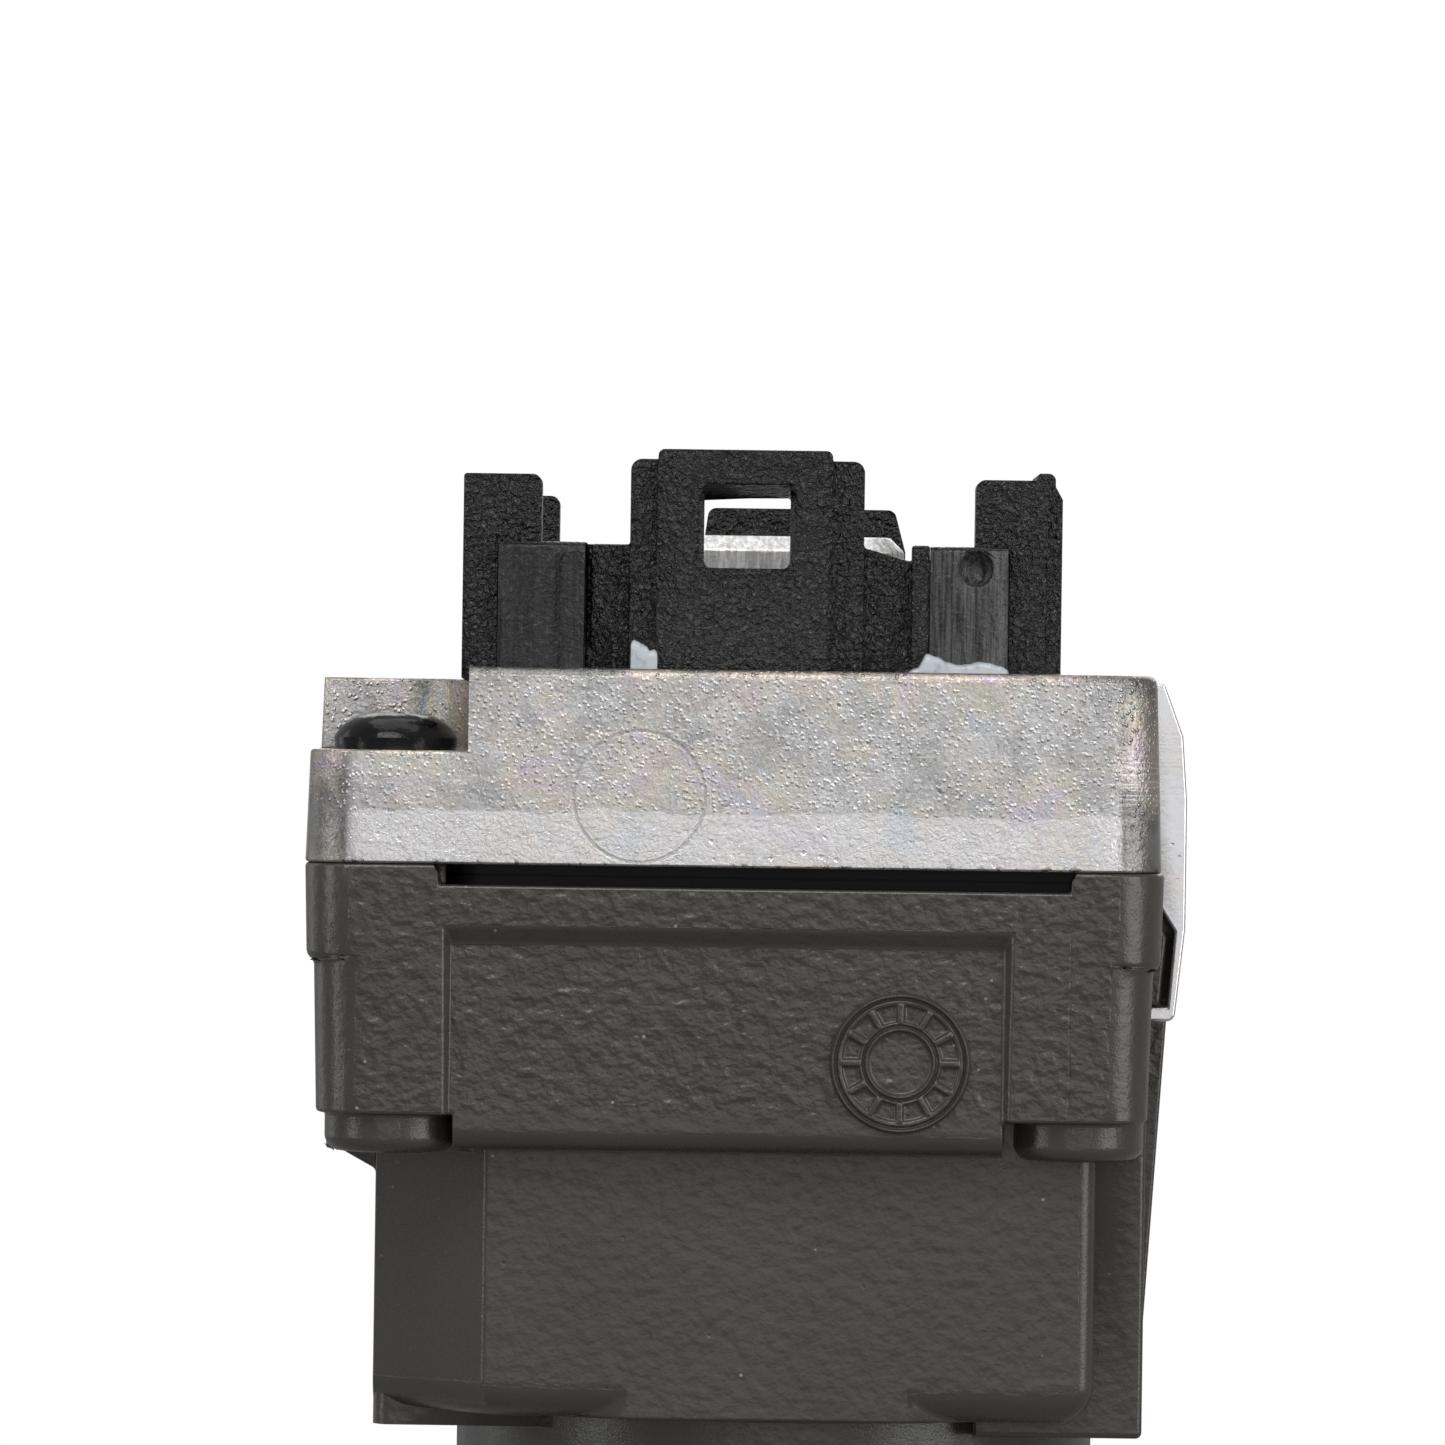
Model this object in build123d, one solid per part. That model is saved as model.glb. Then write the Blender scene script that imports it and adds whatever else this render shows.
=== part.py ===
from build123d import *
import math
import os

# Machine-mounted electrode holder head, in millimetres.
#
# A die-cast aluminium body carries a sprung spindle with a collet chuck for a rod electrode at its lower end.
# A cast top frame is screwed over a rubber gasket on its left side and hooks over a nose on its right side.
# A moulded guide cage on the frame surrounds the live contact block, and takes the power plug.
# The rear flange bolts to the machine's slide.
#
# Everything is drawn in the head's own axes: Z is the electrode axis, Z = 0 is the joint face between body
# and top frame, -Y is the front. The finished pieces then move to the row frame, whose origin is the middle
# of the bolt pattern on the rear face.

# ---- body casting, seen from above ----
body_width = 51.7
body_depth = 52.0
axis_offset = 2.43  # the electrode axis lies this far to the right of the casting's middle
corner_radius = 3.5
boss_inset = 4.93  # corner bosses, from the two sides they stand beside
boss_right_inset = 4.6
boss_radius = 4.05
casting_draft = 1.5  # degrees

# ---- body casting, depths below the joint face ----
collar_height = 6.0
collar_step = 0.45
collar_bevel = 0.35
joint_edge_radius = 0.3
pad_height = 15.3
core_height = 17.7
core_rounding = 1.0
lower_height = 34.0
shelf_height = 35.1
neck_height = 46.0

# ---- marking panel on the front of the body ----
panel_left_margin = 8.6
panel_right_margin = 9.3
panel_depth = 1.0
panel_top = 3.7
panel_slope = 1.05
panel_flank = 0.45
panel_tongue_inset = 0.25  # how far the panel's lower end keeps off its left side
panel_height = 17.4
panel_rounding = 1.4

# ---- lower block ----
block_setback = 4.0
block_right_margin = 3.42
bevel_size = 7.05
shelf_left_margin = 3.78
shelf_right_margin = 0.22
shelf_setback = 8.0
block_edge_radius = 1.2
block_bottom_radius = 2.3
shelf_corner_radius = 0.4
scallop_radius = 23.6
neck_radius = 20.27
neck_shift = 0.55  # the cast neck stands this far to the right of its bore
web_length = 28.0
web_drop = 1.6

# ---- rear flange ----
flange_beyond_hook = 0.6  # at the joint face
flange_taper = 3.6  # degrees
flange_height = 38.2
flange_thickness = 6.0
flange_corner = 3.0
flange_hole_radius = 2.1
flange_hole_depth = 7.5
flange_wall = 1.0  # left between bolt hole and hollow
flange_side_margin = 6.07  # from the flange's sides to the bolt holes
flange_pitch_z = 18.0
flange_middle = 19.75  # middle of the bolt pattern below the joint face
flange_dowel_radius = 2.0
flange_dowel_depth = 6.0

# ---- hollow of the body ----
gasket_left_margin = 7.8
gasket_side_margin = 1.4
gasket_front_margin = 1.1
gasket_rear_margin = 2.5
gasket_width = 2.0
gasket_depth = 2.5
gasket_corner = 2.6
gasket_clearance = 0.05
gasket_lip_height = 0.15
gasket_lip_depth = 0.35
gasket_land = 1.2
upper_hollow_depth = 14.5
lower_hollow_wall = 3.5
lower_floor = 3.0
hollow_corner = 2.5
side_pocket_wall = 2.6
side_pocket_length = 26.0
side_pocket_depth = 12.0
vent_depth = 1.25
vent_left_margin = 7.83
vent_end = 0.35  # how far its ends lean outwards
vent_right_margin = 5.35

# ---- top frame ----
frame_height = 11.3
rim_rise = 0.75
rim_thickness = 3.0
frame_draft = 2.0  # degrees
frame_right_step = 0.28
frame_edge_radius = 0.6
frame_low_radius = 0.2
ledge_height = 6.9
ledge_edge_radius = 0.25
ledge_step = 0.33  # how far the left side stands back above the ledges
screw_pocket_radius = 4.6
frame_pocket_height = 8.0
frame_pocket_spare = 0.3

# ---- hook on the right of the frame, and the nose it grips ----
hook_rear_shift = 8.0  # middle of the hook behind the electrode axis
hook_length = 16.0
hook_reach = 3.05
hook_crest = 1.5
hook_shoulder_height = 8.3
hook_shoulder = 0.3
hook_top_height = 11.7
hook_tongue = 0.7
hook_drop = 9.95
hook_toe = 0.9  # height of the toe under the nose
hook_clearance = 0.15
hook_gap = 0.5
hook_taper = 0.6  # how far the hook's outer face leans in at its lower end
hook_inner_taper = 0.4
hook_taper_height = 6.0
hook_end_radius = 0.3
hook_slot_top = 1.4
hook_slot_slope = 2.8
nose_top = 1.8
nose_shoulder = 2.8

# ---- frame screws: button heads, M4 ----
screw_radius = 2.0
screw_head_radius = 3.8
screw_head_height = 2.2
screw_head_band = 0.75  # height of the widest place
screw_head_flat = 1.9
screw_head_bulge = 0.27
screw_head_foot = 3.7
screw_socket_radius = 1.25
screw_socket_depth = 1.3
screw_length = 14.0
screw_hole_spare = 0.25
thread_clearance = 0.05
dowel_radius = 1.5
dowel_length = 12.0
dowel_clearance = 0.01
dowel_margin = 6.0  # from the front and the right side
dowel_rear_margin = 7.4
dowel_boss_radius = 2.9

# ---- guide cage ----
cage_left_margin = 8.9
cage_right_margin = 6.0
cage_front_margin = 4.8  # front of the plain wall
cage_rear_margin = 4.3
cage_floor = 2.0
cage_corner = 1.0
cage_wall = 1.8
cage_wall_top = 19.7
cage_side_top = 16.5
post_width = 4.8
post_thickness = 2.6
post_proud = 0.05  # how far behind the wall's face the front posts stand
post_top = 23.95
post_rounding = 0.6
post_edge = 0.2
right_post_width = 4.35
rear_post_top = 23.65
rear_post_width = 5.0
rear_post_right_width = 3.0
fin_width = 1.0
fin_length = 10.0
fin_top = 24.4
fin_shoulder = 0.45
fin_shoulder_height = 1.6
tower_centre = -1.95
tower_width = 14.35
tower_thickness = 2.5
tower_top = 24.95
tower_rounding = 0.7
tower_proud = 0.6
face_width = 10.7
face_shift = -0.15
face_proud = 0.7
face_flank = 1.2
face_lean = 0.2
face_top = 25.55
face_bevel = 0.4
window_width = 5.3
window_shift = 0.15
window_sill = 18.3
window_height = 4.35
window_corner = 0.5
window_bevel = 0.35
window_ceiling = 0.8  # how much higher the window is at its front
drum_left_start = 2.2  # from the cage's left side
drum_left_width = 5.4
drum_left_crown = 1.35
drum_right_start = 8.1  # from the cage's right side
drum_right_width = 4.8
drum_right_crown = 1.2
drum_edge = 0.55  # how far the drum's sides stand out of the wall
screw_boss_radius = 2.5
screw_boss_inset = 3.0  # behind the face of the wall
rear_boss_top = 17.0
rear_screw_margin = 4.4
screw_head_room = 0.4
rib_width = 1.35
rib_start = 6.15  # from the cage's left side
rib_drop = 0.5
rib_proud = 0.4
groove_width = 0.4
groove_depth = 0.8
strip_width = 1.1
strip_proud = 0.3
strip_gap = 0.05
slope_drop = 0.83
gate_radius = 1.1
gate_height = 18.45
gate_shift = 0.4
bar_left = -4.85
bar_right = 8.6
bar_top = 23.0
bar_lean = 0.75
bar_lean_height = 2.8
plug_screw_gap = 0.32
plug_front = 15.9
plug_rear = 14.5
plug_corner = 1.5
plug_clearance = 0.1
plug_height = 4.0  # underside of the plug above the joint face
cage_screw_radius = 1.25
cage_screw_head_radius = 2.3
cage_screw_head_height = 1.5
cage_screw_length = 8.0
bead_left_height = 1.5
bead_right_height = 0.9
bead_start = 0.9  # left end of the right bead, beyond the strip
bead_foot = 0.35

# ---- contact block, rod and insulator ----
block_side_wall = 2.4  # of the plug, beside the block
block_front = 9.0
block_rear = 7.6
block_top = 20.6
block_rounding = 2.4
block_front_bevel = 0.9
block_clearance = 0.15
tab_length = 5.0
tab_root = 3.0
tab_half_width = 4.0
tab_thickness = 3.0
tab_screw_radius = 1.5
tab_screw_head_radius = 2.75
tab_screw_head_height = 1.9
tab_screw_length = 8.0
socket_radius = 4.0
socket_depth = 10.6
socket_bevel = 0.8
rod_radius = 4.0
rod_seat = 4.5
rod_drop = 20.0
insulator_thickness = 4.0
insulator_bore = 4.3
insulator_counterbore = 2.6  # depth of the screw head's pocket

# ---- sleeve, bushes and seal ----
sleeve_radius = 13.5
sleeve_bore = 10.5
sleeve_top = 16.0
sleeve_flange_radius = 19.6
sleeve_flange_thickness = 3.5
sleeve_clearance = 0.02
sleeve_screw_pitch_radius = 16.8
sleeve_screw_count = 4
bush_flange_radius = 12.5
bush_flange_thickness = 1.5
upper_bush_length = 8.0
lower_bush_length = 8.5
wiper_height = 2.0

# ---- spindle, spring and stop ----
spindle_radius = 8.0
spindle_top = 8.0
spindle_clearance = 0.04
spindle_travel = 4.0
spindle_gap = 1.5  # left between sleeve flange and chuck body at the top of the travel
rod_bore_depth = 18.0
rod_clearance = 0.05
contact_ring_radius = 5.0
contact_ring_height = 3.0
contact_ring_drop = 2.0
contact_slits = 8
collar_radius = 11.2
collar_thickness = 3.0
collar_counterbore = 2.0
neck_bore_radius = 7.2
ring_groove_radius = 6.6
ring_outer_radius = 8.3
ring_thickness = 1.0
washer_thickness = 0.8
washer_margin = 0.05
spring_wire = 1.6  # across the wire, seen along the axis
spring_wire_height = 1.2
spring_radius = 9.55
spring_turns = 4.25
spring_end_gap = 0.05
pin_radius = 1.5
pin_reach = 12.5
pin_drop = 31.0
pin_clearance = 0.06
slot_spare = 0.3

# ---- chuck, collet and nut ----
tail_radius = 6.0
tail_length = 6.0
chuck_radius = 14.0
chuck_flange = 6.0
chuck_flats = 24.0
chuck_flat_height = 4.5
chuck_thread_radius = 11.0
chuck_thread_length = 12.0
electrode_radius = 3.0
electrode_relief = 3.6
electrode_relief_height = 20.0
collet_mouth_radius = 8.45
collet_angle = 8.0  # degrees, half the angle of the long cone
collet_seat = 9.6
collet_gap = 0.05
collet_end_gap = 0.2
collet_groove = 1.6
collet_groove_depth = 0.9
collet_head_angle = 30.0  # degrees, half the angle of the short cone
collet_head_length = 4.6
collet_rim = 0.7
collet_proud = 0.3
slit_width = 0.5
slit_count = 4
slit_share = 0.72
nut_round_length = 6.5
nut_length = 17.6
nut_flats = 26.0
nut_gap = 1.5
nut_bevel = 1.3
nut_round_radius = 12.6
ring_width = 1.3
ring_clearance = 0.15
ring_outer = 9.9
ring_lip = 0.5
lip_height = 0.4

# ---- places worked out from the sizes above ----
left = -body_width / 2 - axis_offset
right = body_width / 2 - axis_offset
front = -body_depth / 2
rear = body_depth / 2
boss_left = left + boss_inset
boss_right = right - boss_right_inset
boss_front = front + boss_inset
boss_rear = rear - boss_inset
core_left = boss_left - boss_radius
core_right = boss_right + boss_radius
frame_left = left - collar_step
frame_right = right + frame_right_step
collar_right = right + collar_step
hook_outer = right + hook_reach
hook_inner = hook_outer - hook_tongue
nose_outer = hook_inner - hook_gap
nose_bottom = hook_drop - hook_toe - hook_clearance
flange_half_width = hook_outer + flange_beyond_hook
flange_pitch_x = 2 * (flange_half_width - flange_side_margin)
dowel_side = right - dowel_margin
dowel_front = front + dowel_margin
dowel_rear = rear - dowel_rear_margin
block_face = front + block_setback
panel_left = left + panel_left_margin
panel_right = right - panel_right_margin
shelf_left = left + shelf_left_margin
shelf_right = right - shelf_right_margin
shelf_front = front + shelf_setback
block_right = right - block_right_margin
gasket_left = left + gasket_left_margin
gasket_right = right - gasket_side_margin
gasket_front = front + gasket_front_margin
gasket_rear = rear - gasket_rear_margin
ring_to_hollow = gasket_width + gasket_land
hollow_left = gasket_left + ring_to_hollow
hollow_right = gasket_right - ring_to_hollow
hollow_front = gasket_front + ring_to_hollow
hollow_rear = rear - flange_hole_depth - flange_wall
frame_top = frame_height + rim_rise
pocket_edge = boss_left + screw_pocket_radius
cage_left = left + cage_left_margin
cage_right = right - cage_right_margin
cage_front = front + cage_front_margin
cage_rear = rear - cage_rear_margin
cage_floor_top = frame_height + cage_floor
tower_left = tower_centre - tower_width / 2
tower_right = tower_centre + tower_width / 2
tower_front = cage_front - tower_proud
tower_rear = tower_front + tower_thickness
face_front = tower_front - face_proud
face_middle = tower_centre + face_shift
rim_back = front + rim_thickness
drum_left_x = cage_left + drum_left_start + drum_left_width / 2
drum_right_x = cage_right - drum_right_start + drum_right_width / 2
boss_front_y = cage_front + screw_boss_inset
boss_rear_y = hollow_rear - cage_screw_head_radius - screw_head_room
rear_screw_x = cage_right - rear_screw_margin
plug_half_width = rear_screw_x - cage_screw_head_radius - plug_screw_gap
block_half_width = plug_half_width - block_side_wall
cage_screw_places = [
    (drum_left_x, boss_front_y),
    (drum_right_x, boss_front_y),
    (drum_left_x, boss_rear_y),
    (rear_screw_x, boss_rear_y),
]
rib_left = cage_left + rib_start
right_post = cage_right - fin_width - right_post_width
tab_front_y = -block_front - tab_length / 2
tab_rear_y = block_rear + tab_length / 2
tab_top = plug_height + tab_thickness
insulator_bottom = plug_height - insulator_thickness
sleeve_bottom = neck_height + sleeve_flange_thickness
bush_top = sleeve_top - bush_flange_thickness
tab_screw_head_top = insulator_bottom + insulator_counterbore
stop_top = bush_top - collar_thickness
ring_top = stop_top - ring_thickness
shoulder_top = bush_top - collar_counterbore
chuck_top = sleeve_bottom + spindle_travel + spindle_gap
thread_top = chuck_top + chuck_flange
chuck_face = thread_top + chuck_thread_length
nut_top = thread_top + nut_gap
nut_face = nut_top + nut_length
seat_top = chuck_face - collet_seat
collet_face = nut_face + collet_proud
nut_ring_middle = collet_face - collet_head_length - collet_groove / 2
ring_recess_low = -nut_ring_middle - ring_width / 2
ring_recess_top = ring_recess_low + ring_width


def prism(x0, x1, y0, y1, z0, z1):
    """A plain block between two corners."""
    return Pos((x0 + x1) / 2, (y0 + y1) / 2, (z0 + z1) / 2) * Box(x1 - x0, y1 - y0, z1 - z0)


def plate(x0, x1, y0, y1, z0, z1, radius, taper=0.0):
    """A block with rounded upright corners, whose sides lean in by taper degrees towards z1."""
    outline = Pos((x0 + x1) / 2, (y0 + y1) / 2, z0) * RectangleRounded(x1 - x0, y1 - y0, radius)
    if taper == 0.0:
        return extrude(outline, amount=z1 - z0, dir=(0, 0, 1))
    return extrude(outline, amount=z1 - z0, dir=(0, 0, math.copysign(1, z1 - z0)), taper=taper)


def rod(radius, z0, z1, x=0.0, y=0.0):
    """An upright cylinder between two heights."""
    return Pos(x, y, (z0 + z1) / 2) * Cylinder(radius, z1 - z0)


def tube(outer, inner, z0, z1, x=0.0, y=0.0):
    """An upright ring between two heights."""
    return rod(outer, z0, z1, x, y) - rod(inner, z0, z1, x, y)


def profile_along_x(points, x0, x1):
    """A block whose section, given as (y, z) points, runs along X."""
    face = make_face(Polyline(*[(x0, y, z) for y, z in points], close=True))
    return extrude(face, amount=x1 - x0, dir=(1, 0, 0))


def profile_along_y(points, y0, y1):
    """A block whose section, given as (x, z) points, runs along Y."""
    face = make_face(Polyline(*[(x, y0, z) for x, z in points], close=True))
    return extrude(face, amount=y1 - y0, dir=(0, 1, 0))


def plan(points, z0, z1):
    """A block whose outline from above is given as (x, y) points."""
    face = make_face(Polyline(*[(x, y, z0) for x, y in points], close=True))
    return extrude(face, amount=z1 - z0, dir=(0, 0, 1))


def turned(points):
    """A solid of revolution about the electrode axis, from (radius, z) points."""
    face = make_face(Polyline(*[(r, 0, z) for r, z in points], close=True))
    return revolve(face, Axis.Z, 360)


def casting_block(x0, x1, height):
    """A block hung from the joint face, whose sides lean in downwards by the casting draft."""
    outline = Pos((x0 + x1) / 2, 0, 0) * RectangleRounded(x1 - x0, body_depth, corner_radius)
    return extrude(outline, amount=height, dir=(0, 0, -1), taper=casting_draft)


def marking_recess():
    """What is taken out of the front face above and beside the marking panel."""
    panel_face = front + panel_depth
    low = -pad_height - 1
    slope = profile_along_x(
        [
            (front - 1, -panel_top),
            (front, -panel_top),
            (panel_face, -panel_top - panel_slope),
            (panel_face, low),
            (front - 1, low),
        ],
        panel_left - panel_flank,
        panel_right + panel_flank,
    )
    flanks = plan(
        [
            (panel_left - panel_flank, front - 1),
            (panel_left - panel_flank, front),
            (panel_left, panel_face),
            (panel_right, panel_face),
            (panel_right + panel_flank, front),
            (panel_right + panel_flank, front - 1),
        ],
        low,
        0,
    )
    return slope & flanks


def body_casing():
    """The upper box of the body: collar, pads, core with its four corner bosses, and the marking panel."""
    collar = casting_block(frame_left, collar_right, collar_height)
    collar = chamfer(collar.faces().sort_by(Axis.Z)[0].edges(), collar_bevel)
    collar = fillet(collar.faces().sort_by(Axis.Z)[-1].edges(), joint_edge_radius)
    pads = casting_block(left, right, pad_height)
    pads -= prism(left - 1, right + 1, front - 1, rear + 1, -collar_height / 2, 1)
    solid = collar + pads - marking_recess()
    core = (core_left, core_right, boss_front, boss_rear, -core_height, -collar_height)
    solid += plate(*core, boss_radius / 2)
    for x in (boss_left, boss_right):
        for y in (boss_front, boss_rear):
            boss = rod(boss_radius, -core_height, -collar_height, x, y)
            solid += fillet(boss.faces().sort_by(Axis.Z)[0].edges(), core_rounding)
    tongue_left = panel_left + panel_tongue_inset
    panel = prism(tongue_left, panel_right, front + panel_depth, boss_front, -panel_height, -collar_height)
    low_edge = panel.edges().filter_by(Axis.X).group_by(Axis.Z)[0].sort_by(Axis.Y)[0]
    return solid + fillet(low_edge, panel_rounding)


def lower_body():
    """The lower block with its bevel, the shelf behind it, the webs, the neck and the rear flange."""
    bevel_end = block_face + bevel_size
    outline = [
        (shelf_left + bevel_size, block_face),
        (block_right, block_face),
        (block_right, 0),
        (shelf_left, 0),
        (shelf_left, bevel_end),
    ]
    sharp = plan(outline, -lower_height, -pad_height)
    upright = sharp.edges().filter_by(Axis.Z).group_by(Axis.Y)[0].sort_by(Axis.X)[-1]
    sharp = fillet(upright, block_edge_radius)
    low = sharp.faces().sort_by(Axis.Z)[0]
    soft = fillet(low.edges().filter_by(lambda e: e.center().Y < shelf_front), block_bottom_radius)
    scallop = sharp & rod(scallop_radius, -lower_height, -lower_height + 2 * block_bottom_radius)
    shelf = plate(shelf_left, shelf_right, bevel_end, rear, -shelf_height, -pad_height, block_edge_radius)
    column = prism(block_right - bevel_size, shelf_right, shelf_front, rear, -shelf_height, -pad_height)
    for axis, side in ((Axis.Z, 0), (Axis.Y, 1)):
        outer = [e for e in column.edges().filter_by(axis) if e.center().X > shelf_right - 0.01]
        column = fillet(ShapeList(outer).sort_by((Axis.Y, Axis.Z)[side])[0], shelf_corner_radius)
    shelf += column
    web = profile_along_y(
        [
            (core_left, -core_height + 1),
            (core_left, -core_height),
            (shelf_left, -core_height - web_drop),
            (shelf_left + 1, -core_height - web_drop),
            (shelf_left + 1, -core_height + 1),
        ],
        -web_length / 2,
        web_length / 2,
    )
    neck = rod(neck_radius, -neck_height, -lower_height + 1, neck_shift)
    low_half_width = flange_half_width - flange_height * math.tan(math.radians(flange_taper))
    flange = profile_along_y(
        [
            (-flange_half_width, 0),
            (flange_half_width, 0),
            (low_half_width, -flange_height),
            (-low_half_width, -flange_height),
        ],
        rear - flange_thickness,
        rear,
    )
    flange = fillet(flange.edges().filter_by(Axis.Y), flange_corner)
    return soft + scallop + shelf + web + neck + flange


def body_hollow():
    """What is taken out of the body: hollows, side pocket, bore of the neck, gasket groove and vent."""
    upper = plate(hollow_left, hollow_right, hollow_front, hollow_rear, -upper_hollow_depth, 1, hollow_corner)
    for y in (dowel_front, dowel_rear):
        upper -= corner_pad(dowel_side, y, dowel_boss_radius, -upper_hollow_depth - 1, 2)
    wall = lower_hollow_wall
    low_front = block_face + wall
    low_left = shelf_left + wall
    low_right = block_right - wall
    low_rear = rear - flange_thickness - wall
    lower = plan(
        [
            (low_left + bevel_size, low_front),
            (low_right, low_front),
            (low_right, low_rear),
            (low_left, low_rear),
            (low_left, low_front + bevel_size),
        ],
        -lower_height + lower_floor,
        -upper_hollow_depth + 1,
    )
    within = prism(hollow_left, hollow_right, hollow_front, hollow_rear, -lower_height, 0)
    side = plate(
        left + side_pocket_wall,
        gasket_left - gasket_land,
        -side_pocket_length / 2,
        side_pocket_length / 2,
        -side_pocket_depth,
        1,
        hollow_corner / 2,
    )
    bore = rod(sleeve_radius + sleeve_clearance, -neck_height - 1, -upper_hollow_depth)
    groove = gasket_ring(gasket_clearance, -gasket_depth, 1)
    vent_left = left + vent_left_margin
    vent_right = right - vent_right_margin
    vent = profile_along_y(
        [
            (vent_left, -vent_depth),
            (vent_right, -vent_depth),
            (vent_right, -vent_depth / 2),
            (vent_right + vent_end, 0),
            (vent_right + vent_end, 1),
            (vent_left - vent_end, 1),
            (vent_left - vent_end, 0),
            (vent_left, -vent_depth / 2),
        ],
        front - 1,
        gasket_front + gasket_width / 2,
    )
    return [upper, lower & within, side, bore, groove, vent]


def gasket_ring(spare, z0, z1):
    """The closed ring of the gasket between two heights, wider on both sides by spare."""
    outer = plate(
        gasket_left - spare,
        gasket_right + spare,
        gasket_front - spare,
        gasket_rear + spare,
        z0,
        z1,
        gasket_corner + spare,
    )
    inset = gasket_width + spare
    inner = plate(
        gasket_left + inset,
        gasket_right - inset,
        gasket_front + inset,
        gasket_rear - inset,
        z0,
        z1,
        gasket_corner - inset,
    )
    return outer - inner


def body_housing():
    """The body casting with its hollows, threaded holes, dowel holes and the nose for the hook."""
    nose = profile_along_y(
        [
            (right - 1, -nose_top),
            (collar_right - 0.1, -nose_top),
            (nose_outer, -nose_top - nose_shoulder),
            (nose_outer - hook_inner_taper, -nose_bottom),
            (right - 1, -nose_bottom),
        ],
        hook_rear_shift - hook_length / 2,
        hook_rear_shift + hook_length / 2,
    )
    solid = body_casing() + lower_body() + nose
    for tool in body_hollow():
        solid -= tool
    for y in (boss_front, boss_rear):
        solid -= rod(screw_radius + thread_clearance, ledge_height - screw_length - 0.5, 1, boss_left, y)
    for y in (dowel_front, dowel_rear):
        solid -= rod(dowel_radius + dowel_clearance, -dowel_length / 2, 1, dowel_side, y)
    hole_top = -sleeve_bottom + cage_screw_head_height + cage_screw_length + 0.6
    for place in PolarLocations(sleeve_screw_pitch_radius, sleeve_screw_count, start_angle=45):
        solid -= place * rod(cage_screw_radius + thread_clearance, -neck_height - 1, hole_top)
    for x in (-flange_pitch_x / 2, flange_pitch_x / 2):
        for z in (-flange_pitch_z / 2, flange_pitch_z / 2):
            drill = Plane.XZ * Cylinder(flange_hole_radius, 2 * flange_hole_depth)
            solid -= Pos(x, rear, z - flange_middle) * drill
    solid -= Pos(0, rear, -flange_middle) * (Plane.XZ * Cylinder(flange_dowel_radius, 2 * flange_dowel_depth))
    return solid


def body_gasket():
    """The rubber gasket in the body's groove, with a thin lip line along its outer side."""
    ring = gasket_ring(0, -gasket_depth, 0)
    middle = -vent_depth / 2
    waist = gasket_ring(0, middle - gasket_lip_height / 2, middle + gasket_lip_height / 2)
    kept = plate(
        gasket_left + gasket_lip_depth,
        gasket_right - gasket_lip_depth,
        gasket_front + gasket_lip_depth,
        gasket_rear - gasket_lip_depth,
        -gasket_depth,
        0,
        gasket_corner - gasket_lip_depth,
    )
    return ring - (waist - kept)


def corner_pad(x, y, radius, z0, z1):
    """What fills the corner of a hollow around a dowel: a round boss run out to the two walls beside it."""
    far_x = hollow_right + 1
    far_y = math.copysign(body_depth / 2, y)
    low, high = sorted((y, far_y))
    low_wide, high_wide = sorted((y - math.copysign(radius, y), far_y))
    return (
        rod(radius, z0, z1, x, y)
        + prism(x - radius, far_x, low, high, z0, z1)
        + prism(x, far_x, low_wide, high_wide, z0, z1)
    )


def screw(radius, length, head_radius, head_height, socket_radius, socket_depth):
    """A cheese-head screw with its head upward, the head's underside at zero."""
    head = rod(head_radius, 0, head_height)
    return screw_with(head, radius, length, head_height, socket_radius, socket_depth)


def screw_with(head, radius, length, head_height, socket_radius, socket_depth):
    """A screw made of a given head, a shank below it and a hexagon socket."""
    socket = Pos(0, 0, head_height - socket_depth) * RegularPolygon(socket_radius, 6)
    return head + rod(radius, -length, 0) - extrude(socket, amount=socket_depth + 1, dir=(0, 0, 1))


def frame_hook():
    """The hook on the frame's right side, which grips under the body's nose."""
    toe_inner = collar_right + hook_clearance
    return profile_along_y(
        [
            (right - 1, hook_top_height),
            (right + hook_crest, hook_top_height),
            (hook_outer - hook_shoulder, hook_shoulder_height),
            (hook_outer, hook_shoulder_height / 2),
            (hook_outer, -hook_drop + hook_taper_height),
            (hook_outer - hook_taper, -hook_drop + hook_end_radius),
            (hook_outer - hook_taper - hook_end_radius, -hook_drop),
            (toe_inner, -hook_drop),
            (toe_inner, -hook_drop + hook_toe),
            (hook_inner - hook_inner_taper, -hook_drop + hook_toe),
            (hook_inner, -hook_slot_top - hook_slot_slope),
            (toe_inner, -hook_slot_top),
            (toe_inner, 0),
            (right - 1, 0),
        ],
        hook_rear_shift - hook_length / 2,
        hook_rear_shift + hook_length / 2,
    )


def ledge_rims(solid):
    """The outer edges of the two ledges on the frame's left side."""
    upper = solid.edges().filter_by_position(Axis.Z, ledge_height - 0.01, ledge_height + 0.01)
    draft = ledge_height * math.tan(math.radians(frame_draft))
    rims = []
    for edge in upper:
        place = edge.center()
        beside = place.X < frame_left + draft + corner_radius
        if abs(place.Y) > body_depth / 2 - draft - corner_radius / 2 or (beside and abs(place.Y) > boss_rear):
            rims.append(edge)
    return rims


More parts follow.
